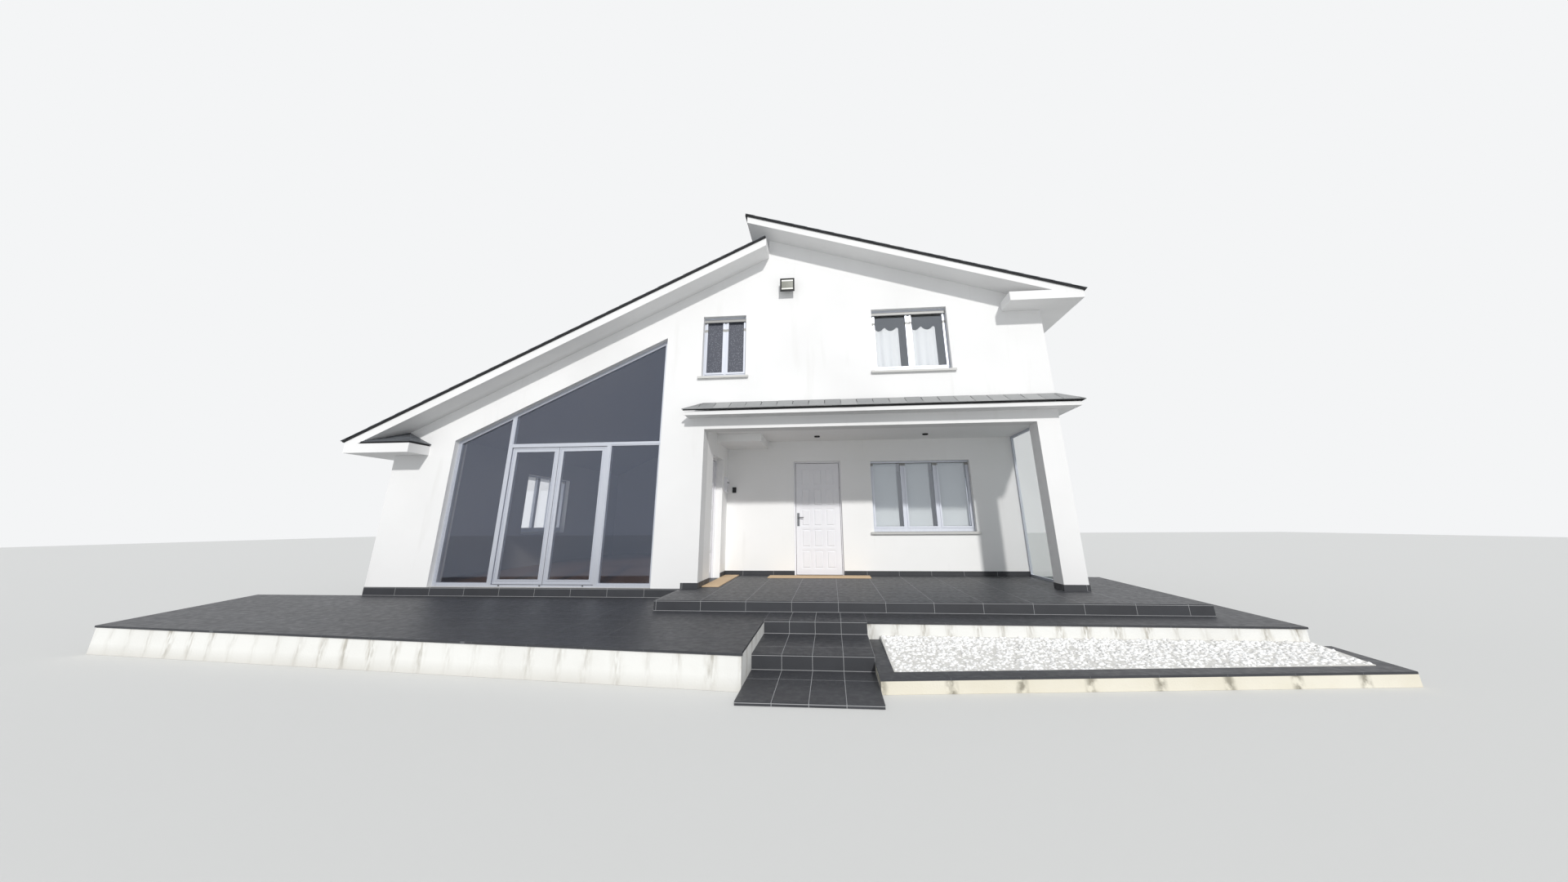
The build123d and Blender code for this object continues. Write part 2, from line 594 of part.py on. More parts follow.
def make_glazing():
    """One aluminium frame holds the sloping panes, a fixed light and the French doors."""
    y0, y1 = FRAME_SET, FRAME_SET + FRAME_D
    left, right = GLAZING_L, GLAZING_R
    foot = FLOOR_TOP + FRAME_W
    head_v = FRAME_W / math.cos(math.radians(GLAZING_HEAD_SLOPE))
    transom_z = FLOOR_TOP + LEAF_TOP
    door_l = MULLION_X + MULLION_W
    door_r = door_l + FRENCH_W
    outline = front_shape([(left, FLOOR_TOP), (right, FLOOR_TOP), (right, glazing_head(right)),
                           (left, glazing_head(left))], y0, y1)
    side_pane = [(left + FRAME_W, foot), (MULLION_X, foot),
                 (MULLION_X, glazing_head(MULLION_X) - head_v),
                 (left + FRAME_W, glazing_head(left + FRAME_W) - head_v)]
    top_pane = [(door_l, transom_z + TRANSOM_H), (right - FRAME_W, transom_z + TRANSOM_H),
                (right - FRAME_W, glazing_head(right - FRAME_W) - head_v),
                (door_l, glazing_head(door_l) - head_v)]
    fixed_pane = [(door_r + MULLION_W, foot), (right - FRAME_W, foot),
                  (right - FRAME_W, transom_z), (door_r + MULLION_W, transom_z)]
    doorway = [(door_l, FLOOR_TOP + FRAME_W / 2), (door_r, FLOOR_TOP + FRAME_W / 2),
               (door_r, transom_z), (door_l, transom_z)]
    frame = outline
    for shape in (side_pane, top_pane, fixed_pane):
        lit = make_face(Polyline(*[(x, y0, z) for x, z in shape], close=True))
        frame -= extrude(offset(lit, BEAD_W, kind=Kind.INTERSECTION), amount=BEAD_D, dir=(0, 1, 0))
    for shape in (side_pane, top_pane, fixed_pane, doorway):
        frame -= front_shape(shape, y0 - PAST, y1 + PAST)
    frame = join([frame] + hinges(door_l + RUNNING_GAP, y1, FLOOR_TOP, transom_z, -1)
                 + hinges(door_r - RUNNING_GAP, y1, FLOOR_TOP, transom_z, 1))
    parts["glazing_frame"] = frame
    middle = (y0 + y1) / 2
    parts["glazing_panes"] = group(
        front_shape(shape, middle - GLASS_T / 2, middle + GLASS_T / 2)
        for shape in (side_pane, top_pane, fixed_pane))

    leaf_l = door_l + RUNNING_GAP
    leaf_r = door_r - RUNNING_GAP
    centre = (door_l + door_r) / 2
    z0 = FLOOR_TOP + FRAME_W / 2 + RUNNING_GAP
    z1 = transom_z - RUNNING_GAP
    depth0 = y1 - LEAF_D
    for name, a, b in (("left", leaf_l, centre - RUNNING_GAP / 2),
                       ("right", centre + RUNNING_GAP / 2, leaf_r)):
        frame = block(a, b, depth0, y1, z0, z1)
        hole = (a + LEAF_STILE, b - LEAF_STILE, z0 + LEAF_RAIL, z1 - LEAF_RAIL)
        frame -= block(hole[0], hole[1], depth0 - PAST, y1 + PAST, hole[2], hole[3])
        rebate = (a + LEAF_STEP, b - LEAF_STEP, z0 + LEAF_STEP, z1 - LEAF_STEP)
        bead = (hole[0] - BEAD_W, hole[1] + BEAD_W, hole[2] - BEAD_W, hole[3] + BEAD_W)
        sunk = block(rebate[0], rebate[1], depth0 - PAST, depth0 + BEAD_D, rebate[2], rebate[3])
        frame -= sunk - block(bead[0], bead[1], depth0 - PAST, depth0 + BEAD_D, bead[2], bead[3])
        parts[f"french_door_{name}"] = frame
        glass = depth0 + LEAF_D / 2
        parts[f"french_door_{name}_glass"] = block(hole[0], hole[1], glass - GLASS_T / 2,
                                                   glass + GLASS_T / 2, hole[2], hole[3])


def hinges(edge, back, z0, z1, side):
    """Three barrels with their plates at a leaf's edge, on the inner face of its frame.

    side is 1 where the frame lies to the right of the leaf and -1 where it lies to the left.
    The leaf's back face turns just clear of the barrels.
    """
    centre = back + HINGE_R + HINGE_PLAY
    pieces = []
    for z in (z0 + HINGE_END, (z0 + z1) / 2, z1 - HINGE_END):
        barrel = Pos(edge, centre, z) * Cylinder(HINGE_R, HINGE_L)
        near = edge + side * RUNNING_GAP
        far = edge + side * (RUNNING_GAP + 2 * HINGE_R)
        foot = block(min(near, far), max(near, far), back, centre + HINGE_ARM / 2,
                     z - HINGE_L / 2, z + HINGE_L / 2)
        arm = block(min(edge, near), max(edge, near), centre - HINGE_ARM / 2,
                    centre + HINGE_ARM / 2, z - HINGE_L / 2, z + HINGE_L / 2)
        pieces.append(barrel + arm + foot)
    return pieces


def panelled(leaf, a, b, face, z0, z1):
    """Sinks a moulded groove round each field of a leaf, on its outer face."""
    columns = round((b - a) / PANEL_W)
    rows = round((z1 - z0) / PANEL_H)
    wide = (b - a - 2 * DOOR_STILE + DOOR_RAIL) / columns
    tall = (z1 - z0 - 2 * DOOR_STILE + DOOR_RAIL) / rows
    for column in range(columns):
        for row in range(rows):
            x = a + DOOR_STILE + (column + 0.5) * wide - DOOR_RAIL / 2
            z = z0 + DOOR_STILE + (row + 0.5) * tall - DOOR_RAIL / 2
            w, h = wide - DOOR_RAIL, tall - DOOR_RAIL
            outer = block(x - w / 2, x + w / 2, face - PAST, face + GROOVE_D, z - h / 2, z + h / 2)
            w, h = w - 2 * GROOVE_W, h - 2 * GROOVE_W
            field = block(x - w / 2, x + w / 2, face - PAST, face + GROOVE_D, z - h / 2, z + h / 2)
            field = chamfer(field.faces().sort_by(Axis.Y)[0].edges(), GROOVE_D)
            leaf -= outer - field
    return leaf


def door_set(width, height):
    """A door drawn at its opening's corner: frame, leaf and lever handle. y runs inwards."""
    frame = block(0, width, 0, DOOR_FRAME_D, 0, height)
    frame -= block(DOOR_FRAME, width - DOOR_FRAME, -PAST, DOOR_FRAME_D + PAST, -PAST,
                   height - DOOR_FRAME)
    a = DOOR_FRAME + RUNNING_GAP
    b = width - DOOR_FRAME - RUNNING_GAP
    y0 = DOOR_FRAME_D - DOOR_T
    leaf = block(a, b, y0, DOOR_FRAME_D, RUNNING_GAP, height - DOOR_FRAME - RUNNING_GAP)
    leaf = panelled(leaf, a, b, y0, RUNNING_GAP, height - DOOR_FRAME - RUNNING_GAP)
    frame = join([frame] + hinges(b, DOOR_FRAME_D, RUNNING_GAP, height - DOOR_FRAME, 1))
    plate = block(a + PLATE_INSET, a + PLATE_INSET + PLATE_W, y0 - PLATE_T, y0,
                  HANDLE_H - PLATE_H / 2, HANDLE_H + PLATE_H / 2)
    spindle_x = a + PLATE_INSET + PLATE_W / 2
    lever_z = HANDLE_H + LEVER_UP
    neck = Pos(spindle_x, y0 - PLATE_T - NECK_L / 2, lever_z) * Rot(90, 0, 0) * Cylinder(LEVER_R, NECK_L)
    lever = Pos(spindle_x + LEVER_L / 2 - LEVER_R, y0 - PLATE_T - NECK_L, lever_z)
    lever = lever * Rot(0, 90, 0) * Cylinder(LEVER_R, LEVER_L)
    return frame, leaf, plate + neck + lever


def make_doors():
    frame, leaf, handle = door_set(FRONT_DOOR_W, DOOR_H)
    place = Pos(FRONT_DOOR_X, PORCH_D + DOOR_SET, FLOOR_TOP)
    front_frame = place * frame
    parts["front_door"] = place * leaf
    parts["front_door_handle"] = place * handle
    frame, leaf, handle = door_set(SIDE_DOOR_W, DOOR_H)
    place = Pos(PORCH_L - SIDE_DOOR_SET, SIDE_DOOR_Y, FLOOR_TOP) * Rot(0, 0, 90)
    parts["door_frames"] = group([front_frame, place * frame])
    parts["side_door"] = place * leaf
    parts["side_door_handle"] = place * handle


def make_windows():
    parts["window_frames"] = group(window_frame(w) + shutter_box(w) for w in windows)
    parts["window_panes"] = group(pane for w in windows for pane in window_panes(w))
    parts["window_sills"] = group(window_sill(w) for w in windows)


def make_porch_fittings():
    x0 = HOUSE_W - SCREEN_IN - SCREEN_FRAME
    x1 = HOUSE_W - SCREEN_IN
    frame = block(x0, x1, COLUMN_D, PORCH_D, FLOOR_TOP, CEILING)
    frame -= block(x0 - PAST, x1 + PAST, COLUMN_D + SCREEN_FRAME, PORCH_D - SCREEN_FRAME,
                   FLOOR_TOP + SCREEN_FRAME, CEILING - SCREEN_FRAME)
    parts["glass_screen_frame"] = frame
    middle = (x0 + x1) / 2
    parts["glass_screen"] = block(middle - GLASS_T / 2, middle + GLASS_T / 2,
                                  COLUMN_D + SCREEN_FRAME, PORCH_D - SCREEN_FRAME,
                                  FLOOR_TOP + SCREEN_FRAME, CEILING - SCREEN_FRAME)
    parts["ceiling_box"] = block(PORCH_L, PORCH_L + BOX_W, PORCH_D - BOX_L, PORCH_D,
                                 CEILING - BOX_DROP, CEILING)
    rim = Plane.XZ.offset(LAMP_ARM + LAMP_D) * Pos(LAMP_X, LAMP_Z, 0)
    rear = Plane.XZ.offset(LAMP_ARM) * Pos(LAMP_X, LAMP_Z, 0)
    mid = Plane.XZ.offset(LAMP_ARM + LAMP_D - LAMP_RIM) * Pos(LAMP_X, LAMP_Z, 0)
    housing = loft([mid * Rectangle(LAMP_W, LAMP_H), rear * Rectangle(LAMP_W / 2, LAMP_H / 2)])
    bezel = extrude(mid * Rectangle(LAMP_W, LAMP_H), amount=LAMP_RIM)
    bezel -= extrude(rim * Rectangle(LAMP_W - LAMP_RIM, LAMP_H - LAMP_RIM), amount=-LAMP_RIM / 2)
    lamp = housing + bezel
    bracket = block(LAMP_X - LAMP_ARM / 2, LAMP_X + LAMP_ARM / 2, -LAMP_ARM, 0,
                    LAMP_Z - LAMP_ARM, LAMP_Z + LAMP_ARM)
    parts["floodlight"] = lamp + bracket
    lid = LETTERBOX_Z + LETTERBOX_H
    parts["letterbox"] = front_shape(
        [(PORCH_L, LETTERBOX_Z), (PORCH_L + LETTERBOX_D, LETTERBOX_Z),
         (PORCH_L + LETTERBOX_D, lid - LETTERBOX_D), (PORCH_L, lid)],
        LETTERBOX_Y, LETTERBOX_Y + LETTERBOX_W)


def make_skirting():
    """Dark tile skirting along the foot of the front and round the porch."""
    top = FLOOR_TOP + SKIRT_H
    band = block(0, PLATFORM_L, -SKIRT_T, 0, TERRACE_TOP, FLOOR_TOP)
    pier = block(PLATFORM_L, PORCH_L, -SKIRT_T, 0, FLOOR_TOP, top)
    side = block(PORCH_L, PORCH_L + SKIRT_T, -SKIRT_T, SIDE_DOOR_Y, FLOOR_TOP, top)
    nib = block(PORCH_L, PORCH_L + SKIRT_T, SIDE_DOOR_Y + SIDE_DOOR_W, PORCH_D - SKIRT_T,
                FLOOR_TOP, top)
    back_l = block(PORCH_L, FRONT_DOOR_X, PORCH_D - SKIRT_T, PORCH_D, FLOOR_TOP, top)
    back_r = block(FRONT_DOOR_X + FRONT_DOOR_W, HOUSE_W - SCREEN_IN - SCREEN_FRAME,
                   PORCH_D - SKIRT_T, PORCH_D, FLOOR_TOP, top)
    column = block(PORCH_R - SKIRT_T, HOUSE_W + SKIRT_T, -SKIRT_T, COLUMN_D, FLOOR_TOP, top)
    column -= block(PORCH_R, HOUSE_W, 0, COLUMN_D + PAST, FLOOR_TOP - PAST, top + PAST)
    parts["tile_skirting"] = group([band, pier + side, nib + back_l, back_r, column])


make_terraces()
make_platform()
make_steps()
make_planter()
make_floors()
make_front_walls()
make_porch_walls()
make_outer_walls()
make_band(make_roof())
make_glazing()
make_doors()
make_windows()
make_porch_fittings()
make_skirting()

# The origin goes under the middle of the footprint: from the left terrace to the right one,
# and from the landing's front edge to the rear verge.
back_end = HOUSE_D + VERGE_OUT + SLATE_LIP
front_end = -(TERRACE_FRONT_R + TREAD + LANDING)
centre = Pos(-(TERRACE_BACK_X + RIGHT_BACK_X) / 2, -(front_end + back_end) / 2, 0)

os.makedirs("parts", exist_ok=True)
for name, shape in parts.items():
    export_step(centre * shape, f"parts/{name}.step")
print(len(parts), "pieces")
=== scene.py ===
import bpy
import math
import random
from mathutils import Matrix, Vector


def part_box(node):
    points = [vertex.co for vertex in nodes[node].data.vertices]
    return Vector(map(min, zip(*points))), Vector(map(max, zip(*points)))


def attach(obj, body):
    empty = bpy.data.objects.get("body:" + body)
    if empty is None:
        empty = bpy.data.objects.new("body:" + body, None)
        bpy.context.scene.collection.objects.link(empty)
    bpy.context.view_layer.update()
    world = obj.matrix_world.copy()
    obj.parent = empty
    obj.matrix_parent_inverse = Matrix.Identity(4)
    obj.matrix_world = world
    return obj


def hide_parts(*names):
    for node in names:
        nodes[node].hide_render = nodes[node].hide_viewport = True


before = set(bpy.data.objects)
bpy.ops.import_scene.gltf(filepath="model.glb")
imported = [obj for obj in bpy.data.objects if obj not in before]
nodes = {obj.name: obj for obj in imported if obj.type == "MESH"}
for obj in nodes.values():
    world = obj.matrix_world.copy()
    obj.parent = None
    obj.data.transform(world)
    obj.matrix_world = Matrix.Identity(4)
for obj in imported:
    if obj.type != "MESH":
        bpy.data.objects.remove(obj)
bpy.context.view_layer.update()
random.seed(7)

# Viewpoint
# The picture was taken with a very wide lens from close by, left of the entry steps, looking
# a little up and a little to the left.
front_corner = Vector(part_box("front_wall_left")[0])
EYE = front_corner + Vector((7.71, -7.92, 0.96))
TURN_LEFT, LOOK_UP, TILT = 5.24, 17.31, -0.34
LENS_MM, SENSOR_MM, SHIFT_UP = 11.0, 36, -0.0426
camera_data = bpy.data.cameras.new("camera")
camera_data.lens = LENS_MM
camera_data.sensor_width = SENSOR_MM
camera_data.shift_y = SHIFT_UP
camera = bpy.data.objects.new("camera", camera_data)
camera.matrix_world = (Matrix.Translation(EYE)
                       @ Matrix.Rotation(math.radians(TURN_LEFT), 4, "Z")
                       @ Matrix.Rotation(math.radians(90 + LOOK_UP), 4, "X")
                       @ Matrix.Rotation(math.radians(TILT), 4, "Z"))
bpy.context.scene.collection.objects.link(camera)
bpy.context.scene.camera = camera


# Masonry render
# The walls are cement render, floated smooth by hand and painted matt white. It has a fine
# sandy grain, drawn at 8 mm so that it shows, soft waves from the float and faint weathering.
# The porch and the slab's underside take a whiter copy, painted light that brightens their
# shade; inside, the tall room's faces are a darker grey, painted shade for the dim room.
def paint(code):
    """Turns an sRGB hex value into the linear colour that a shader takes."""
    shares = [int(code[i:i + 2], 16) / 255 for i in (0, 2, 4)]
    linear = [s / 12.92 if s <= 0.04045 else ((s + 0.055) / 1.055) ** 2.4 for s in shares]
    return (*linear, 1.0)


def add(tree, kind, inputs=None, **settings):
    """Adds one node; an input's value may be a number, a colour or another node's output."""
    node = tree.nodes.new("ShaderNode" + kind)
    for key, value in settings.items():
        setattr(node, key, value)
    for key, value in (inputs or {}).items():
        if isinstance(value, bpy.types.NodeSocket):
            tree.links.new(value, node.inputs[key])
        else:
            node.inputs[key].default_value = value
    return node


def start_material(name):
    """A new material with its tree, its shader and the object's own coordinates."""
    material = bpy.data.materials.new(name)
    material.use_nodes = True
    tree = material.node_tree
    tree.nodes.clear()
    shader = add(tree, "BsdfPrincipled")
    output = add(tree, "OutputMaterial")
    tree.links.new(shader.outputs[0], output.inputs[0])
    place = add(tree, "TexCoord").outputs["Object"]
    return material, tree, shader, place


def blend(tree, share, low, high):
    """A colour between two colours; each may be a hex value or another node's output."""
    mix = add(tree, "Mix", {0: share}, data_type="RGBA")
    for slot, value in ((6, low), (7, high)):
        if isinstance(value, str):
            mix.inputs[slot].default_value = paint(value)
        else:
            tree.links.new(value, mix.inputs[slot])
    return mix.outputs[2]


def noise(tree, place, size, detail=3.0, stretch=(1, 1, 1)):
    """Cloudy noise whose lumps are about as large as size, in metres."""
    scaled = add(tree, "Mapping", {"Vector": place, "Scale": stretch}).outputs[0]
    cloud = add(tree, "TexNoise", {"Vector": scaled, "Scale": 1 / size, "Detail": detail})
    return cloud.outputs[0]


def split(tree, vector):
    """The x, y and z of a vector."""
    return add(tree, "SeparateXYZ", {0: vector}).outputs


def calc(tree, operation, first, second=0.0, third=0.0):
    """The result of one operation, such as MULTIPLY or SUBTRACT."""
    return add(tree, "Math", {0: first, 1: second, 2: third}, operation=operation).outputs[0]


def times(tree, first, *others):
    """The product of several values."""
    for other in others:
        first = calc(tree, "MULTIPLY", first, other)
    return first


def off(tree, value, middle):
    """How far a value is from a middle, on either side of it."""
    return calc(tree, "ABSOLUTE", calc(tree, "SUBTRACT", value, middle))


def between(tree, value, low, high, to_low=0.0, to_high=1.0):
    """Maps a value from one range to another and clamps it."""
    mapped = add(tree, "MapRange", {0: value, 1: low, 2: high, 3: to_low, 4: to_high})
    return mapped.outputs[0]


def bump(tree, shader, height, depth, strength=1.0, under=None):
    """Gives the surface a relief, over an earlier one if that is passed in."""
    inputs = {"Height": height, "Distance": depth, "Strength": strength}
    if under is not None:
        inputs["Normal"] = under
    normal = add(tree, "Bump", inputs).outputs[0]
    tree.links.new(normal, shader.inputs["Normal"])
    return normal


# The last of these colours is the tall room's grey, painted shade for its dim inside.
RENDER_WHITE, RENDER_SHADE, RENDER_DUST, ROOM_SHADE_GREY = "ECECEC", "E5E5E5", "D5D4D1", "96908A"
# The porch colours are a whiter copy of the render: painted light that brightens the porch's shade.
PORCH_LIGHTENED_WHITE, PORCH_LIGHTENED_TONE = "FBFBFB", "F6F6F5"
ROOM_IN = 0.002
room_low = (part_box("left_wall")[1][0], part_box("front_wall_left")[1][1])
room_high = (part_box("porch_side_walls")[0][0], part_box("rear_wall_left")[0][1])


def painted_wall(name, white, shade, ceiling=None):
    """Floated render in one white, painted shade in grey in the tall room, painted light below."""
    material, tree, shader, place = start_material(name)
    waves = noise(tree, place, 1.6)
    clean = blend(tree, between(tree, waves, 0.35, 0.7), white, shade)
    # Faces turned down take the ceiling colour: painted light under the slab.
    if ceiling:
        facing = split(tree, add(tree, "TexCoord").outputs["Normal"])
        clean = blend(tree, between(tree, facing[2], -0.8, -0.7, 1.0, 0.0), clean, ceiling)
    drips = noise(tree, place, 0.9, 5.0, (5, 5, 0.6))
    dusty = blend(tree, between(tree, drips, 0.62, 0.85, 0.0, 0.35), clean, RENDER_DUST)
    axes = split(tree, place)
    # The tall room's inner faces take the grey: painted shade for the dim room.
    room = 1.0
    for axis in (0, 1):
        low, high = room_low[axis] - ROOM_IN, room_high[axis] + ROOM_IN
        past = between(tree, axes[axis], low, low + ROOM_IN / 2)
        before = between(tree, axes[axis], high - ROOM_IN / 2, high, 1.0, 0.0)
        room = times(tree, room, past, before)
    tree.links.new(blend(tree, room, dusty, ROOM_SHADE_GREY), shader.inputs["Base Color"])
    shader.inputs["Roughness"].default_value = 0.82
    floated = bump(tree, shader, noise(tree, place, 0.35, 2.0), 0.006, 0.35)
    bump(tree, shader, noise(tree, place, 0.008, 2.0), 0.0008, 0.5, floated)
    return material


def dress(names, material):
    """Gives CAD pieces their material, in place of the one they came with."""
    for name in names:
        piece = nodes[name]
        piece.data.materials.clear()
        piece.data.materials.append(material)


dress(["front_wall_left", "front_wall_over_glazing", "front_pier", "front_wall_upper",
       "porch_beam", "porch_column", "left_wall", "right_wall", "rear_wall_left",
       "rear_wall_right", "ridge_wall", "left_roof", "right_roof", "porch_roof"],
      painted_wall("painted cement render", RENDER_WHITE, RENDER_SHADE))
# The porch walls and ceiling box take the whiter copy, which is painted light.
dress(["porch_back_wall_left", "porch_back_wall_right", "porch_side_walls", "door_heads",
       "ceiling_box"], painted_wall("porch render painted whiter", PORCH_LIGHTENED_WHITE, PORCH_LIGHTENED_TONE))
# The slab's underside is painted lighter, which is painted light.
dress(["upper_floor"],
      painted_wall("floor slab render painted lighter below", RENDER_WHITE, RENDER_SHADE, PORCH_LIGHTENED_WHITE))


# Charcoal tiles
# Terraces, platform, steps and skirting are laid with pressed porcelain tiles, matt charcoal
# with a faint cloud and a slight cleft face. The joints are light grey grout, 4 mm wide and
# drawn at 5 mm so that they show; on the terraces the grout has darkened.
TILE_DARK, TILE_PALE, GROUT, GROUT_DIRTY = "2C2D31", "3E4045", "A3A4A6", "606266"
GROUT_W, GROUT_SOFT = 0.005, 0.0005
TILE_L, TILE_W = 0.6, 0.3


def tile_pattern(tree, place, corner, long_side, short_side):
    """Joints between tiles laid from a corner, and the colour of the tiles between them."""
    moved = add(tree, "Mapping", {"Vector": place, "Location": [-c for c in corner]}).outputs[0]
    bricks = add(tree, "TexBrick", {"Vector": moved, "Color1": paint("FFFFFF"),
                                    "Color2": paint("000000"), "Mortar": paint("808080"),
                                    "Scale": 1.0, "Mortar Size": GROUT_W / 2,
                                    "Mortar Smooth": 0.1, "Bias": 0.0,
                                    "Brick Width": long_side, "Row Height": short_side},
                 offset=0.0, squash=1.0)
    cloud = noise(tree, place, 0.22, 4.0)
    each = add(tree, "SeparateColor", {0: bricks.outputs[0]}).outputs[0]
    share = calc(tree, "MULTIPLY_ADD", each, 0.25, times(tree, cloud, 0.6))
    return bricks.outputs["Fac"], blend(tree, share, TILE_DARK, TILE_PALE)


def tile_material(name, corner, long_side, short_side, grout=GROUT, levels=()):
    """Tiles of one format, laid from a corner; levels are the heights of joints on risers."""
    material, tree, shader, place = start_material(name)
    joints, face = tile_pattern(tree, place, corner, long_side, short_side)
    high = split(tree, place)[2]
    for level in levels:
        line = between(tree, off(tree, high, level), GROUT_W / 2 - GROUT_SOFT,
                       GROUT_W / 2 + GROUT_SOFT, 1.0, 0.0)
        joints = calc(tree, "MAXIMUM", joints, line)
    tree.links.new(blend(tree, joints, face, grout), shader.inputs["Base Color"])
    rough = between(tree, noise(tree, place, 0.07, 5.0), 0.3, 0.7, 0.42, 0.58)
    tree.links.new(calc(tree, "MAXIMUM", rough, joints), shader.inputs["Roughness"])
    joint = bump(tree, shader, joints, -0.002, 0.8)
    bump(tree, shader, noise(tree, place, 0.05, 5.0), 0.0015, 0.4, joint)
    return material


platform_lo, platform_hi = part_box("porch_platform")
steps_lo, steps_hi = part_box("entry_steps")
JOINT_CLEAR, FIRST_JOINT = 0.012, 0.06
platform_corner = (platform_lo[0] + FIRST_JOINT, platform_lo[1] - JOINT_CLEAR, 0)
steps_corner = (steps_lo[0], steps_hi[1] + JOINT_CLEAR, 0)
TILE_EDGE, JOINT_UP, STEP_FOOT = 0.011, 0.003, 0.02
platform_levels = (platform_hi[2] - TILE_EDGE, steps_hi[2] + JOINT_UP)
heights = {round(vertex.co.z, 4) for vertex in nodes["entry_steps"].data.vertices}
tops = sorted(height for height in heights if height > steps_lo[2] + STEP_FOOT)
step_levels = [top - TILE_EDGE for top in tops] + [top + JOINT_UP for top in tops[:-1]]
platform_tiles = tile_material("charcoal tile 60 by 30", platform_corner, TILE_L, TILE_W,
                               levels=platform_levels)
terrace_tiling = tile_material("charcoal terrace tile", platform_corner, TILE_L, TILE_W,
                               GROUT_DIRTY)
step_tiles = tile_material("charcoal tile 30 by 60", steps_corner, TILE_W, TILE_L,
                           levels=step_levels)
dress(["porch_platform", "tile_skirting"], platform_tiles)
dress(["terrace_tiles"], terrace_tiling)
dress(["entry_steps"], step_tiles)


# Terrace walls
# The low walls under the tiles are rendered too. Rain runs off at every tile joint, so a
# grey-brown streak hangs under the edge each 300 mm, widest and darkest at the top. Where the
# top of the masonry is open, behind the platform, it is tiled like the terrace.
WALL_CREAM, STREAK_BROWN, SMEAR_BEIGE, SPLASH_GREY = "E4E4E1", "87837A", "B3AEA3", "BBB8B1"
STREAK_PITCH = 0.30
terrace_lo, terrace_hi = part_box("terrace_walls")
terrace_render, tree, shader, place = start_material("streaked terrace render")
axes = split(tree, place)
facing = split(tree, add(tree, "TexCoord").outputs["Normal"])
on_side = between(tree, off(tree, facing[0], 0.0), 0.6, 0.7)
run_off = calc(tree, "MULTIPLY_ADD", on_side, calc(tree, "SUBTRACT", axes[1], axes[0]), axes[0])
wandering = calc(tree, "MULTIPLY_ADD", noise(tree, place, 0.5), 0.14, run_off)
off_joint = off(tree, calc(tree, "FRACT", calc(tree, "DIVIDE", wandering, STREAK_PITCH)), 0.5)
core = between(tree, off_joint, 0.0, 0.10, 1.0, 0.0)
smear = between(tree, off_joint, 0.05, 0.27, 1.0, 0.0)
ragged = between(tree, noise(tree, place, 0.12, 6.0, (4, 4, 1)), 0.38, 0.62)
patchy = between(tree, noise(tree, place, 1.3, 3.0), 0.42, 0.58, 0.25, 1.0)
fade = between(tree, axes[2], terrace_lo[2], terrace_hi[2], 0.4, 1.0)
share = times(tree, ragged, patchy, fade)
soaked = between(tree, noise(tree, place, 1.1, 4.0), 0.5, 0.75, 0.0, 0.25)
foot = between(tree, axes[2], 0.0, 0.12, 0.5, 0.0)
smeared = blend(tree, times(tree, smear, share), WALL_CREAM, SMEAR_BEIGE)
washed = blend(tree, times(tree, core, share, 0.6), smeared, STREAK_BROWN)
splashed = blend(tree, soaked, washed, SPLASH_GREY)
wall_face = blend(tree, foot, splashed, SPLASH_GREY)
joints, tile_face = tile_pattern(tree, place, platform_corner, TILE_L, TILE_W)
on_top = between(tree, facing[2], 0.6, 0.7)
tiled = blend(tree, joints, tile_face, GROUT_DIRTY)
tree.links.new(blend(tree, on_top, wall_face, tiled), shader.inputs["Base Color"])
tree.links.new(between(tree, on_top, 0.0, 1.0, 0.9, 0.5), shader.inputs["Roughness"])
bump(tree, shader, noise(tree, place, 0.02, 4.0), 0.003, 0.5)
dress(["terrace_walls"], terrace_render)


# Ground floor
# The slab's edge is hidden by the skirting; inside, the rooms have warm brown porcelain
# boards with a soft polish, as seen through the glazing.
BOARD_DARK, BOARD_WARM, SLAB_GREY = "5B4234", "7C5D4A", "B9B7B2"
BOARD_L, BOARD_W, BOARD_JOINT = 1.2, 0.2, 0.0012
WALL_T, SILL_D, THIN = 0.3, 0.1, 0.001
floor_lo, floor_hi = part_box("ground_floor")
floor_finish, tree, shader, place = start_material("brown porcelain boards")
axes = split(tree, place)
boards = add(tree, "TexBrick", {"Vector": place, "Color1": paint("FFFFFF"),
                                "Color2": paint("000000"), "Mortar": paint("303030"),
                                "Scale": 1.0, "Mortar Size": BOARD_JOINT,
                                "Brick Width": BOARD_L, "Row Height": BOARD_W}, offset=0.5)
grain = noise(tree, place, 0.05, 6.0, (1, 8, 1))
tone = calc(tree, "MULTIPLY_ADD", grain, 0.7, times(tree, boards.outputs[0], 0.25))
board = blend(tree, tone, BOARD_DARK, BOARD_WARM)
on_top = between(tree, axes[2], floor_hi[2] - 2 * THIN, floor_hi[2] - THIN)
inside_x = between(tree, axes[0], floor_lo[0] + WALL_T - THIN, floor_lo[0] + WALL_T)
inside_y = between(tree, axes[1], floor_lo[1] + SILL_D - THIN, floor_lo[1] + SILL_D)
room = times(tree, inside_x, inside_y, on_top)
tree.links.new(blend(tree, room, SLAB_GREY, board), shader.inputs["Base Color"])
tree.links.new(between(tree, room, 0.0, 1.0, 0.85, 0.28), shader.inputs["Roughness"])
dress(["ground_floor"], floor_finish)


# Slates
# The roofs are covered with split natural slate, 300 mm wide, hung in courses of 250 mm.
# Each slate lies on the two below it, so every tail lifts a little and casts a thin line.
SLATE_COOL, SLATE_DEEP, SLATE_RUST = "6B6F74", "43464B", "6A6158"
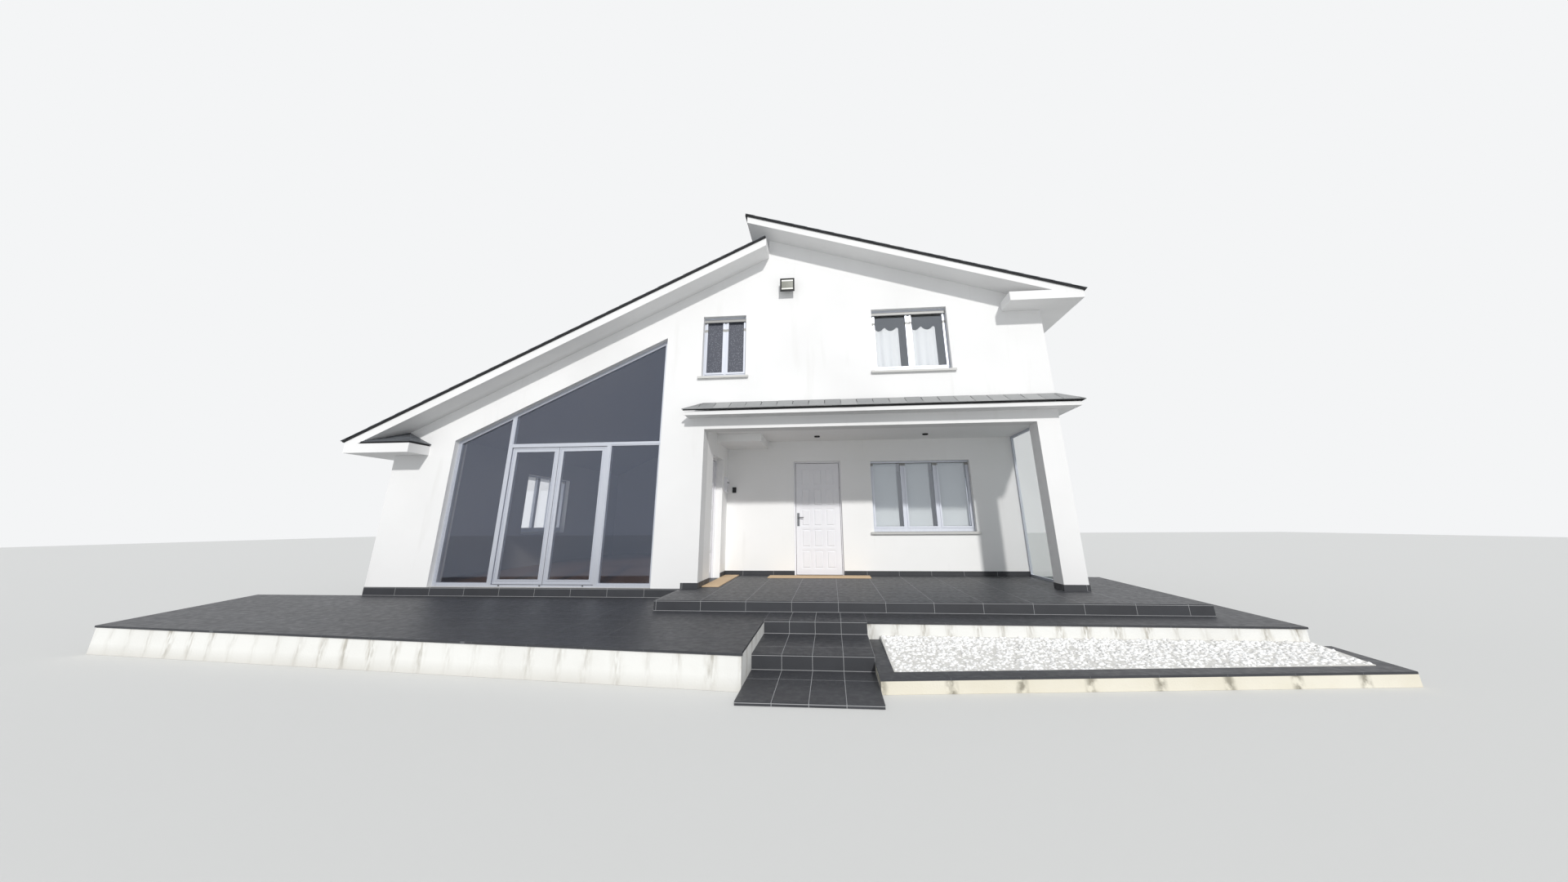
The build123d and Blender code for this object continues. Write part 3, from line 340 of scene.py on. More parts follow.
# The second pair is a lighter slate: painted sunlight for the porch band.
SUNLIT_SLATE_DEEP, SUNLIT_SLATE_PALE = "77797B", "A6A7A7"
SLATE_W, SLATE_GAUGE, SLATE_THICK, SLATE_GAP = 0.30, 0.25, 0.006, 0.003
SLATE_LENGTH = 2 * SLATE_GAUGE + 0.03
TAIL_LIFT, SETTLE, UNEVEN = 0.011, 0.0015, 0.0015
STARTER_SHARE, STARTER_LIFT, STARTER_UP, NARROWEST = 0.35, 0.15, 0.004, 0.04
BED_T, BED_IN = 0.022, 0.014
natural_slate, tree, shader, place = start_material("split natural slate")
each = add(tree, "NewGeometry").outputs["Random Per Island"]
cleft = noise(tree, place, 0.09, 7.0)
tone = calc(tree, "MULTIPLY_ADD", each, 0.55, times(tree, cleft, 0.45))
stone = blend(tree, tone, SLATE_DEEP, SLATE_COOL)
rusty = between(tree, noise(tree, place, 0.6, 5.0), 0.62, 0.8, 0.0, 0.4)
tree.links.new(blend(tree, rusty, stone, SLATE_RUST), shader.inputs["Base Color"])
tree.links.new(between(tree, cleft, 0.3, 0.7, 0.38, 0.6), shader.inputs["Roughness"])
bump(tree, shader, noise(tree, place, 0.03, 6.0), 0.002, 0.6)

# The porch band's slates are the same stone, painted lighter: painted sunlight.
sunlit_slate_copy, tree, shader, place = start_material("slate painted lighter as if sunlit")
each = add(tree, "NewGeometry").outputs["Random Per Island"]
cleft = noise(tree, place, 0.09, 7.0)
tone = calc(tree, "MULTIPLY_ADD", each, 0.7, times(tree, cleft, 0.35))
tree.links.new(blend(tree, tone, SUNLIT_SLATE_DEEP, SUNLIT_SLATE_PALE), shader.inputs["Base Color"])
shader.inputs["Roughness"].default_value = 0.5
bump(tree, shader, noise(tree, place, 0.03, 6.0), 0.002, 0.6)


def only(piece):
    """Selects one piece alone and makes it the active one."""
    bpy.ops.object.select_all(action="DESELECT")
    piece.select_set(True)
    bpy.context.view_layer.objects.active = piece


def new_block(name, low, high, edge=0.0, rounds=2):
    """A block between two corners with its edges eased; its place goes into its mesh."""
    bpy.ops.object.select_all(action="DESELECT")
    middle = [(a + b) / 2 for a, b in zip(low, high)]
    bpy.ops.mesh.primitive_cube_add(size=1, location=middle)
    piece = bpy.context.object
    piece.name = name
    piece.scale = [b - a for a, b in zip(low, high)]
    bpy.ops.object.transform_apply(location=True, rotation=True, scale=True)
    if edge:
        ease = piece.modifiers.new("eased edges", "BEVEL")
        ease.width = edge
        ease.segments = rounds
        bpy.ops.object.modifier_apply(modifier=ease.name)
        bpy.ops.object.shade_smooth_by_angle(angle=math.radians(40))
    return piece


def merge(pieces, name):
    """Joins pieces into one, with the place of each in its mesh."""
    bpy.ops.object.select_all(action="DESELECT")
    for piece in pieces:
        piece.select_set(True)
    bpy.context.view_layer.objects.active = pieces[0]
    if len(pieces) > 1:
        bpy.ops.object.join()
    bpy.ops.object.transform_apply(location=True, rotation=True, scale=True)
    whole = bpy.context.object
    whole.name = name
    return whole


def copies(pattern, places):
    """Copies of a modelled piece, one at each matrix, each with its own mesh."""
    made = []
    for matrix in places:
        twin = pattern.copy()
        twin.data = pattern.data.copy()
        twin.matrix_world = matrix
        bpy.context.scene.collection.objects.link(twin)
        made.append(twin)
    bpy.data.objects.remove(pattern)
    return made


def trim(piece, point, outward):
    """Cuts a piece at a plane and closes the cut; what lies outward goes."""
    only(piece)
    bpy.ops.object.mode_set(mode="EDIT")
    bpy.ops.mesh.select_all(action="SELECT")
    bpy.ops.mesh.bisect(plane_co=point, plane_no=outward, use_fill=True, clear_outer=True)
    bpy.ops.object.mode_set(mode="OBJECT")


def clouded(name, low, high, lump, roughness, detail=3.0, relief=None, **values):
    """A material that wanders between two colours in lumps of one size, in metres; relief is
    the lump, detail, depth and strength of its bumps, and values go to the shader's sockets."""
    material, tree, shader, place = start_material(name)
    cloud = noise(tree, place, lump, detail)
    tree.links.new(blend(tree, cloud, low, high), shader.inputs["Base Color"])
    shader.inputs["Roughness"].default_value = roughness
    for socket, value in values.items():
        shader.inputs[socket].default_value = value
    if relief:
        grain, fine, depth, strength = relief
        bump(tree, shader, noise(tree, place, grain, fine), depth, strength)
    return material


TAR_BLACK, TAR_DUSTY = "1C1D1F", "2A2B2E"
underlay = clouded("tarred underlay", TAR_BLACK, TAR_DUSTY, 0.2, 0.8)


def slate_slope(name, corner, along, up, width, height, length=SLATE_LENGTH, gauge=SLATE_GAUGE,
                face_w=SLATE_W, lift=TAIL_LIFT, gap=SLATE_GAP, uneven=UNEVEN, stone=natural_slate):
    """Courses of slates on a slope: corner is its eave corner, along and up span its plane."""
    across, rise = along.normalized(), up.normalized()
    out = across.cross(rise)
    span = Matrix((across, rise, out)).transposed().to_4x4()
    bed = new_block("slate bed", (BED_IN, BED_IN, 0), (width - BED_IN, height, BED_T), 0.004)
    bed.data.transform(Matrix.Translation(corner) @ span)
    bed.data.materials.append(underlay)
    corner = corner + out * BED_T
    tilt = math.asin(lift / length)
    pattern = new_block("slate", (0, 0, 0), (face_w - gap, length, SLATE_THICK), 0.0015, 1)
    pattern.data.materials.append(stone)
    places = []
    for course in range(-1, math.ceil(height / gauge)):
        tail = max(course, 0) * gauge
        reach = min(length, height - tail) if course >= 0 else gauge * STARTER_SHARE
        start = -face_w / 2 if course % 2 else 0.0
        while start < width:
            left, right = max(start, 0.0), min(start + face_w, width)
            start += face_w
            if right - left < NARROWEST:
                continue
            base = lift * (STARTER_LIFT if course < 0 else 1.0) + random.uniform(0, SETTLE)
            low_end = tail + (STARTER_UP if course < 0 else random.uniform(-uneven, uneven))
            spot = corner + across * left + rise * low_end + out * base
            lean = Matrix.Rotation(-tilt if course >= 0 else 0.0, 4, "X")
            twist = Matrix.Rotation(random.uniform(-uneven, uneven), 4, "Z")
            size = Matrix.Diagonal(((right - left) / face_w, reach / length, 1, 1))
            places.append(Matrix.Translation(spot) @ span @ lean @ twist @ size)
    return merge([bed] + copies(pattern, places), name)


LEFT_PITCH, RIGHT_PITCH = math.radians(26.0), math.radians(17.8)
cover_lo, cover_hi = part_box("roof_slates")
left_lo, left_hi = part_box("left_roof")
right_lo, right_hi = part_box("right_roof")
depth = cover_hi[1] - cover_lo[1]
left_up = Vector((math.cos(LEFT_PITCH), 0, math.sin(LEFT_PITCH)))
left_run = left_hi[0] - cover_lo[0]
left_eave = Vector((cover_lo[0], cover_hi[1], left_hi[2] - left_run * math.tan(LEFT_PITCH)))
left_cover = slate_slope("left slates", left_eave, Vector((0, -1, 0)), left_up, depth,
                         left_run / math.cos(LEFT_PITCH))
right_up = Vector((-math.cos(RIGHT_PITCH), 0, math.sin(RIGHT_PITCH)))
right_run = cover_hi[0] - (right_lo[0] - (left_lo[0] - cover_lo[0]))
right_eave = Vector((cover_hi[0], cover_lo[1],
                     right_hi[2] - (cover_hi[0] - right_lo[0]) * math.tan(RIGHT_PITCH)))
right_cover = slate_slope("right slates", right_eave, Vector((0, 1, 0)), right_up, depth,
                          right_run / math.cos(RIGHT_PITCH))
main_slates = merge([left_cover, right_cover], "roof_slate_courses")
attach(main_slates, "root")
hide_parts("roof_slates")


# Small slate roofs
# The band over the porch has one course of full slates over a starter course, and turns the
# corner at a hip. The returns of the left eave carry the same slates, hipped at the inner end.
band_lo, band_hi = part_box("porch_roof")
upper_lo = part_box("front_wall_upper")[0]
lip = cover_hi[0] - right_hi[0]
run = upper_lo[1] - band_lo[1] + lip
BAND_PITCH, HIP_PITCH = math.radians(30.4), math.radians(26.0)
slope_l = run / math.cos(BAND_PITCH)
front_up = Vector((0, math.cos(BAND_PITCH), math.sin(BAND_PITCH)))
side_up = Vector((-math.cos(BAND_PITCH), 0, math.sin(BAND_PITCH)))
# The band's slates take the lighter slate copy, which is painted sunlight.
BAND_SLATE_W, BAND_LIFT, BAND_GAP, BAND_UNEVEN = 0.265, 0.007, 0.009, 0.009
band_laid = {"length": slope_l, "gauge": slope_l, "face_w": BAND_SLATE_W, "lift": BAND_LIFT,
             "gap": BAND_GAP, "uneven": BAND_UNEVEN, "stone": sunlit_slate_copy}
left_end, right_end = band_lo[0] - lip, band_hi[0] + lip
front_edge, back_edge, base_z = band_lo[1] - lip, band_hi[1] + lip, band_hi[2]
band_front = slate_slope("band front", Vector((left_end, front_edge, base_z)), Vector((1, 0, 0)),
                         front_up, right_end - left_end, slope_l, **band_laid)
trim(band_front, (left_end, front_edge, base_z), (-1, 1, 0))
trim(band_front, (right_end, front_edge, base_z), (1, 1, 0))
band_side = slate_slope("band side", Vector((right_end, front_edge, base_z)), Vector((0, 1, 0)),
                        side_up, back_edge - front_edge, slope_l, **band_laid)
trim(band_side, (right_end, front_edge, base_z), (-1, -1, 0))
trim(band_side, (right_end, back_edge, base_z), (-1, 1, 0))
small = [band_front, band_side]
RETURN_TALL, RETURN_REACH, LEFT_SLAB_T = 0.155, 1.195, 0.136
return_top = left_lo[2] + RETURN_TALL
return_end = left_lo[0] + RETURN_REACH
return_run = upper_lo[1] - left_lo[1]
return_l = return_run / math.cos(HIP_PITCH)
roof_line = Vector((-math.sin(LEFT_PITCH), 0, math.cos(LEFT_PITCH)))
soffit_point = Vector((left_hi[0], 0, left_hi[2])) - roof_line * LEFT_SLAB_T
end_up = Vector((-math.cos(HIP_PITCH), 0, math.sin(HIP_PITCH)))
for name, edge_y, inward in (("front", left_lo[1], 1), ("rear", left_hi[1], -1)):
    start_x = left_lo[0] if inward > 0 else return_end
    up_slope = Vector((0, inward * math.cos(HIP_PITCH), math.sin(HIP_PITCH)))
    along_edge = slate_slope("return " + name, Vector((start_x, edge_y, return_top)),
                             Vector((inward, 0, 0)), up_slope, RETURN_REACH, return_l)
    trim(along_edge, (return_end, edge_y, return_top), (1, inward, 0))
    end_y = edge_y if inward > 0 else edge_y - return_run
    hip_end = slate_slope("hip " + name, Vector((return_end, end_y, return_top)),
                          Vector((0, 1, 0)), end_up, return_run, return_l)
    trim(hip_end, (return_end, edge_y, return_top), (-1, -inward, 0))
    for piece in (along_edge, hip_end):
        trim(piece, soffit_point, roof_line)
        small.append(piece)
small_slates = merge(small, "hipped_slate_courses")
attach(small_slates, "root")
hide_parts("small_roof_slates")


# Aluminium
# Window and door frames are extruded aluminium, satin anodised to a cool silver. The metal
# is nearly smooth, with a faint draw grain along the bars.
SILVER, SILVER_DULL = "D3D6DF", "C3C8D2"
anodised, tree, shader, place = start_material("satin anodised aluminium")
drawn = noise(tree, place, 0.02, 3.0, (1, 1, 0.08))
tree.links.new(blend(tree, drawn, SILVER, SILVER_DULL), shader.inputs["Base Color"])
shader.inputs["Metallic"].default_value = 0.6
shader.inputs["Roughness"].default_value = 0.36
bump(tree, shader, drawn, 0.0003, 0.3)
dress(["glazing_frame", "french_door_left", "french_door_right", "glass_screen_frame"], anodised)

# The slat colour is the shutter's grey slat with painted shade from the lintel mixed in.
SLAT_GREY_AND_SHADE, SHUTTER_TOP, SHUTTER_FOOT, SLAT_SOFT = "A3A3A1", 0.085, 0.035, 0.001
WINDOW_HEADS = (2.589, 4.838, 5.016)
frame_with_shaded_slat, tree, shader, place = start_material("anodised frame with a grey shutter band and painted shade")
drawn = noise(tree, place, 0.02, 3.0, (1, 1, 0.08))
high = split(tree, place)[2]
# Under each window head a band is the grey slat, darkened by painted shade.
slat = 0.0
for head in WINDOW_HEADS:
    slat_shade_lo, slat_shade_hi = head - SHUTTER_TOP, head - SHUTTER_FOOT
    above = between(tree, high, slat_shade_lo - SLAT_SOFT, slat_shade_lo)
    below = between(tree, high, slat_shade_hi, slat_shade_hi + SLAT_SOFT, 1.0, 0.0)
    slat = calc(tree, "MAXIMUM", slat, times(tree, above, below))
metal = blend(tree, drawn, SILVER, SILVER_DULL)
tree.links.new(blend(tree, slat, metal, SLAT_GREY_AND_SHADE), shader.inputs["Base Color"])
tree.links.new(between(tree, slat, 0, 1, 0.6, 0.0), shader.inputs["Metallic"])
shader.inputs["Roughness"].default_value = 0.42
dress(["window_frames"], frame_with_shaded_slat)


# Glass
# The panes are float glass; their blue-grey colour is a painted reflection of the sky, and
# the dark rooms show through. Those of the small bathroom window are etched and speckled, and
# the screen is clear safety glass with a green tinge.
# These blue-greys are the sky's reflection, painted into the glass colour.
SKY_MIRROR, SKY_MIRROR_DEEP, SKY_MIRROR_PALE = "DFE6F0", "B4C0DC", "C9D2E6"
ETCHED_DARK, ETCHED_PALE = "4A4D58", "9BA0AA"
SCREEN_GREEN, SCREEN_PALE = "9FB8B4", "A9C2C0"
WINDOW_SHINE, GLAZING_SHINE, SCREEN_SHINE = 0.13, 0.11, 0.22
window_glass = clouded("float glass", SKY_MIRROR_DEEP, SKY_MIRROR_PALE, 3.0, 0.02, Metallic=1.0,
                       Alpha=GLAZING_SHINE)
dress(["glazing_panes", "french_door_left_glass", "french_door_right_glass"], window_glass)

SMALL_AT, SMALL_W, UPSTAIRS = 0.654, 0.785, 3.6
mixed_glass, tree, shader, place = start_material("clear and etched glass")
axes = split(tree, place)
small_left = upper_lo[0] + SMALL_AT
small_right = small_left + SMALL_W
past = between(tree, axes[0], small_left, small_left + THIN)
before = between(tree, axes[0], small_right, small_right + THIN, 1.0, 0.0)
etched = times(tree, past, before, between(tree, axes[2], UPSTAIRS, UPSTAIRS + THIN))
speckle = add(tree, "TexVoronoi", {"Vector": place, "Scale": 55.0}).outputs["Distance"]
flecks = between(tree, speckle, 0.12, 0.3, 1.0, 0.0)
cloudy = blend(tree, flecks, ETCHED_DARK, ETCHED_PALE)
tree.links.new(blend(tree, etched, SKY_MIRROR, cloudy), shader.inputs["Base Color"])
tree.links.new(between(tree, etched, 0, 1, 1.0, 0.0), shader.inputs["Metallic"])
tree.links.new(between(tree, etched, 0, 1, 0.02, 0.45), shader.inputs["Roughness"])
tree.links.new(between(tree, etched, 0, 1, WINDOW_SHINE, 0.97), shader.inputs["Alpha"])
dress(["window_panes"], mixed_glass)

screen_glass = clouded("green edged safety glass", SCREEN_GREEN, SCREEN_PALE, 1.5, 0.02,
                       IOR=1.52, Alpha=SCREEN_SHINE)
dress(["glass_screen"], screen_glass)


# Doors and sills
# Both doors and the letterbox are lacquered in a cold white with a soft sheen; sills are cast
# stone, a shade greyer than the wall. The handles are brushed stainless steel, and the lamp's
# housing is die cast and powder coated.
LACQUER, LACQUER_SHADE, CAST_STONE, STONE_PORE = "F5F5F8", "ECECF1", "CFCFCD", "BFBFBC"
STEEL_PALE, STEEL_DARK, GRAPHITE, GRAPHITE_PALE = "8D8F92", "76787C", "151618", "1F2022"
lacquer = clouded("white lacquered door", LACQUER, LACQUER_SHADE, 0.5, 0.34,
                  relief=(0.01, 2.0, 0.0003, 0.4))
cast_stone = clouded("cast stone sill", CAST_STONE, STONE_PORE, 0.006, 0.7, 2.0,
                     relief=(0.006, 2.0, 0.0008, 0.5))
steel = clouded("satin stainless steel", STEEL_PALE, STEEL_DARK, 0.004, 0.3, Metallic=1.0)
powder = clouded("graphite powder coat", GRAPHITE, GRAPHITE_PALE, 0.003, 0.6)
dress(["front_door", "side_door", "door_frames", "letterbox"], lacquer)
dress(["window_sills"], cast_stone)
dress(["front_door_handle", "side_door_handle"], steel)
dress(["floodlight"], powder)


# Curtains and blinds
# Thin white cotton hangs behind the upper panes, gathered on a rod, with a scalloped head.
# The porch window has a pale roller blind behind each pane, pulled down to the sill.
CLOTH_WHITE, CLOTH_SHADE, BLIND_PALE, BLIND_SHADE = "FAFBFB", "F0F2F2", "E6EAEA", "D6DCDC"
WINDOW_SET, PANE_IN, GLASS_TO_CLOTH = 0.12, 0.06, 0.052
CLOTH_BACK = WINDOW_SET + PANE_IN + GLASS_TO_CLOTH
FRAME_BAR, POST_BAR, SILL_BAR, HEAD_BAR, FOOT_BAR = 0.058, 0.105, 0.04, 0.035, 0.095
CLOTH_UP, CLOTH_DOWN = SILL_BAR + FOOT_BAR * 0.4, HEAD_BAR * 0.4


def woven(name, pale, shade, threads, wander, across, roughness, sheen=0.0):
    """Cloth whose fine waves follow each other along one axis and wander a little."""
    material, tree, shader, place = start_material(name)
    weave = add(tree, "TexWave", {"Vector": place, "Scale": threads, "Distortion": wander},
                bands_direction=across)
    tree.links.new(blend(tree, weave.outputs[0], pale, shade), shader.inputs["Base Color"])
    shader.inputs["Roughness"].default_value = roughness
    shader.inputs["Sheen Weight"].default_value = sheen
    return material


cotton = woven("thin white cotton", CLOTH_WHITE, CLOTH_SHADE, 160.0, 0.5, "Z", 0.9, 0.2)
roller_cloth = woven("pale roller blind", BLIND_PALE, BLIND_SHADE, 220.0, 0.2, "X", 0.8)


def pane_lefts(width, count):
    """Left edges of a window's panes and their clear width."""
    clear = (width - 2 * FRAME_BAR - (count - 1) * POST_BAR) / count
    return [FRAME_BAR + number * (clear + POST_BAR) for number in range(count)], clear


def hanging_cloth(name, corner, width, height, folds, swing, scallop):
    """Cloth that hangs in even folds; returns it and the width it had before it was gathered."""
    steps = max(24, folds * 12)
    bpy.ops.object.select_all(action="DESELECT")
    bpy.ops.mesh.primitive_grid_add(x_subdivisions=steps, y_subdivisions=16, size=1)
    cloth = bpy.context.object
    cloth.name = name
    phase = random.uniform(0, math.tau)
    for vertex in cloth.data.vertices:
        u, v = vertex.co.x + 0.5, vertex.co.y + 0.5
        fold = math.sin(u * folds * math.tau + phase + 0.5 * math.sin(3 * u + v))
        drop = scallop * abs(math.sin(u * math.pi * 2 + 0.4)) * v
        sway = fold * swing * (1.1 - 0.4 * v)
        vertex.co = corner + Vector((u * width, sway, v * height - drop))
    only(cloth)
    bpy.ops.object.mode_set(mode="EDIT")
    bpy.ops.mesh.select_all(action="SELECT")
    bpy.ops.mesh.normals_make_consistent(inside=False)
    bpy.ops.object.mode_set(mode="OBJECT")
    bpy.ops.object.shade_smooth()
    samples = 400
    points = [(i / samples * width, swing * 0.9 * math.sin(i / samples * folds * math.tau))
              for i in range(samples + 1)]
    flat = sum(math.dist(points[i], points[i + 1]) for i in range(samples))
    thick = cloth.modifiers.new("cloth thickness", "SOLIDIFY")
    thick.thickness = THIN
    bpy.ops.object.modifier_apply(modifier=thick.name)
    return cloth, flat


back_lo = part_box("porch_back_wall_right")[0]
UPPER_AT, UPPER_SILL, UPPER_W, UPPER_H = 3.685, 0.608, 1.298, 1.18
PORCH_AT, PORCH_SILL, PORCH_W, PORCH_H = 0.607, 0.758, 1.955, 1.403
CURTAIN_SHARE, CURTAIN_DROP, CURTAIN_FOLDS = 0.79, 0.26, 3
CURTAIN_SWING, CURTAIN_SCALLOP = 0.012, 0.07
BLIND_IN, BLIND_SHARE, BLIND_WAVES, BLIND_SWING = 0.012, 0.88, 1, 0.003
lefts, clear = pane_lefts(UPPER_W, 2)
for number, left in enumerate(lefts):
    low = Vector((upper_lo[0] + UPPER_AT + left, upper_lo[1] + CLOTH_BACK,
                  upper_lo[2] + UPPER_SILL + CLOTH_UP))
    tall = UPPER_H - CLOTH_UP - CURTAIN_DROP
    curtain, flat_w = hanging_cloth(f"upper_curtain_{number + 1}", low, clear * CURTAIN_SHARE, tall,
                                    CURTAIN_FOLDS, CURTAIN_SWING, CURTAIN_SCALLOP)
    curtain.data.materials.append(cotton)
    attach(curtain, "root")
lefts, clear = pane_lefts(PORCH_W, 3)
for number, left in enumerate(lefts):
    low = Vector((back_lo[0] + PORCH_AT + left - BLIND_IN, back_lo[1] + CLOTH_BACK,
                  back_lo[2] + PORCH_SILL + CLOTH_UP))
    tall = PORCH_H - CLOTH_UP - CLOTH_DOWN
    wide = clear * (BLIND_SHARE if number < 2 else 1.0) + BLIND_IN
    blind, flat_w = hanging_cloth(f"porch_blind_{number + 1}", low, wide, tall, BLIND_WAVES,
                                  BLIND_SWING, 0.0)
    blind.data.materials.append(roller_cloth)
    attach(blind, "root")


# Small fittings
# Two recessed ceiling lights with dark lenses, a doorbell and the drain caps in the glazing's
# sill are moulded in black plastic. The lamp's glass shows its reflector, brushed coir mats lie
# before the doors, and the letterbox has a steel flap.
PLASTIC, PLASTIC_PALE, COIR, COIR_PALE = "1B1C1E", "26272A", "C9AC88", "DFC6A6"
LENS_DULL, LENS_PALE, LENS_GLINT = "7E7F78", "96978E", "F4F4F0"
black_plastic = clouded("black moulded plastic", PLASTIC, PLASTIC_PALE, 0.01, 0.5)
coir = clouded("brushed coir", COIR, COIR_PALE, 0.006, 0.95, 4.0, relief=(0.005, 4.0, 0.004, 1.0))
lens, tree, shader, place = start_material("lamp glass over a reflector")
lamp_lo, lamp_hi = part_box("floodlight")
LAMP_RIM_W, GLINT_W, GLINT_IN, GLINT_SOFT = 0.026, 0.026, 0.006, 0.002
GLINT_UP = LAMP_RIM_W + GLINT_IN + GLINT_W / 2
high = split(tree, place)[2]
dull = blend(tree, noise(tree, place, 0.03), LENS_DULL, LENS_PALE)
bright = 0.0
# The two bright strips near the top and bottom of the lens are painted glints.
for middle in (lamp_lo[2] + GLINT_UP, lamp_hi[2] - GLINT_UP):
    strip = between(tree, off(tree, high, middle), GLINT_W / 2 - GLINT_SOFT, GLINT_W / 2, 1.0, 0.0)
    bright = calc(tree, "MAXIMUM", bright, strip)
tree.links.new(blend(tree, bright, dull, LENS_GLINT), shader.inputs["Base Color"])
shader.inputs["Roughness"].default_value = 0.5


def fitting(name, pieces, material):
    """Joins the parts of one fitting, and gives them their material and body."""
    whole = merge(pieces, name)
    whole.data.materials.clear()
    whole.data.materials.append(material)
    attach(whole, "root")
    return whole


def ceiling_ring(x, y, z):
    """A turned ring with a sunk lens, set into the ceiling."""
    bpy.ops.object.select_all(action="DESELECT")
    bpy.ops.mesh.primitive_cylinder_add(vertices=40, radius=SPOT_R, depth=SPOT_T,
                                        location=(x, y, z - SPOT_T / 2))
    ring = bpy.context.object
    bpy.ops.object.mode_set(mode="EDIT")
    bpy.ops.mesh.select_mode(type="FACE")
    bpy.ops.mesh.select_all(action="DESELECT")
    bpy.ops.object.mode_set(mode="OBJECT")
    for face in ring.data.polygons:
        face.select = face.normal.z < -0.9
    bpy.ops.object.mode_set(mode="EDIT")
    bpy.ops.mesh.inset(thickness=SPOT_R * 0.22)
    bpy.ops.transform.translate(value=(0, 0, SPOT_T * 0.6))
    bpy.ops.object.mode_set(mode="OBJECT")
    bpy.ops.object.shade_smooth_by_angle(angle=math.radians(35))
    return ring


SPOT_R, SPOT_T, SPOTS_AT, SPOTS_BACK = 0.055, 0.02, (7.495, 9.58), 1.47
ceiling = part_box("ceiling_box")[1][2]
spots = [ceiling_ring(front_corner.x + at, front_corner.y + SPOTS_BACK, ceiling)
         for at in SPOTS_AT]
fitting("ceiling_lights", spots, black_plastic)

BELL_X, BELL_Z, BELL_W, BELL_H, BELL_T = 0.11, 1.567, 0.08, 0.11, 0.024
BUTTON_R, BUTTON_UP = 0.014, 0.035
porch_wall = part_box("porch_back_wall_left")[0]
bell_x, bell_y, bell_z = porch_wall[0] + BELL_X, porch_wall[1] - BELL_T, porch_wall[2] + BELL_Z
bell = new_block("bell", (bell_x, bell_y, bell_z),
                 (bell_x + BELL_W, porch_wall[1], bell_z + BELL_H), 0.008, 3)
bpy.ops.mesh.primitive_uv_sphere_add(
    segments=20, ring_count=10, radius=BUTTON_R,
    location=(bell_x + BELL_W / 2, bell_y, bell_z + BUTTON_UP))
button = bpy.context.object
button.scale = (1, 0.4, 1)
bpy.ops.object.shade_smooth()
fitting("doorbell", [bell, button], black_plastic)

LENS_T, LENS_SET = 0.006, 0.003
glass_y = lamp_lo[1] + LENS_SET
pane = new_block("lamp pane", (lamp_lo[0] + LAMP_RIM_W, glass_y, lamp_lo[2] + LAMP_RIM_W),
                 (lamp_hi[0] - LAMP_RIM_W, glass_y + LENS_T, lamp_hi[2] - LAMP_RIM_W), 0.002)
fitting("floodlight_glass", [pane], lens)

CAP_W, CAP_H, CAP_UP, CAP_OUT, CAP_IN = 0.028, 0.016, 0.011, 0.006, 0.002
CAPS_AT = (1.158, 1.861, 2.589)
sill_x, sill_y, sill_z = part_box("glazing_frame")[0]
caps = [new_block("cap", (sill_x + at, sill_y - CAP_OUT, sill_z + CAP_UP),
                  (sill_x + at + CAP_W, sill_y + CAP_IN, sill_z + CAP_UP + CAP_H), 0.003)
        for at in CAPS_AT]
fitting("drain_caps", caps, black_plastic)

MAT_T, FRONT_MAT_L, FRONT_MAT_W, SIDE_MAT_L, SIDE_MAT_W = 0.014, 1.9, 0.4, 1.78, 0.28
FRONT_MAT_OFF, SIDE_MAT_OFF, SIDE_MAT_BACK = 0.08, 0.012, 0.04
front_lo, front_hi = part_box("front_door")
mat_x, mat_y = (front_lo[0] + front_hi[0] - FRONT_MAT_L) / 2, porch_wall[1] - FRONT_MAT_OFF
mat_z = platform_hi[2]
front_mat = new_block("front mat", (mat_x, mat_y - FRONT_MAT_W, mat_z),
                      (mat_x + FRONT_MAT_L, mat_y, mat_z + MAT_T), 0.004)
fitting("front_door_mat", [front_mat], coir)
mat_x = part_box("porch_side_walls")[1][0] + SIDE_MAT_OFF
mat_y = porch_wall[1] - SIDE_MAT_BACK
side_mat = new_block("side mat", (mat_x, mat_y - SIDE_MAT_L, mat_z),
                     (mat_x + SIDE_MAT_W, mat_y, mat_z + MAT_T), 0.004)
fitting("side_door_mat", [side_mat], coir)

FLAP_W, FLAP_H, FLAP_T, FLAP_IN, FLAP_UP = 0.16, 0.022, 0.006, 0.03, 0.17
box_lo, box_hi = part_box("letterbox")
flap_y, flap_z = box_lo[1] + FLAP_IN, box_lo[2] + FLAP_UP
flap = new_block("flap", (box_hi[0] - THIN, flap_y, flap_z),
                 (box_hi[0] + FLAP_T, flap_y + FLAP_W, flap_z + FLAP_H), 0.004)
fitting("letterbox_flap", [flap], steel)


# Planter
# A low kerb, rendered cream and stained, with a cap of black tiles 600 mm long, holds a bed
# of tumbled white marble pebbles.
KERB_CREAM, KERB_DULL, KERB_STAIN = "DEDACD", "D3CDBC", "6F6A5C"
BED_PALE, BED_GREY = "E6E5E1", "CFCDC8"
KERB_TILE_L, ACROSS_ALL, WELL_AHEAD = 0.6, 12.0, 5.0
kerb_render, tree, shader, place = start_material("stained cream render")
cream = blend(tree, between(tree, noise(tree, place, 0.7, 4.0), 0.4, 0.7), KERB_CREAM, KERB_DULL)
kerb_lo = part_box("planter_kerb_tiles")[0]
past_end = calc(tree, "SUBTRACT", split(tree, place)[0], kerb_lo[0] - KERB_TILE_L / 2)
along = calc(tree, "FRACT", calc(tree, "DIVIDE", past_end, KERB_TILE_L))
at_joint = between(tree, off(tree, along, 0.5), 0.02, 0.11, 1.0, 0.0)
some = between(tree, noise(tree, place, 0.07, 5.0), 0.36, 0.56)
stain = times(tree, at_joint, some, 0.75)
tree.links.new(blend(tree, stain, cream, KERB_STAIN), shader.inputs["Base Color"])
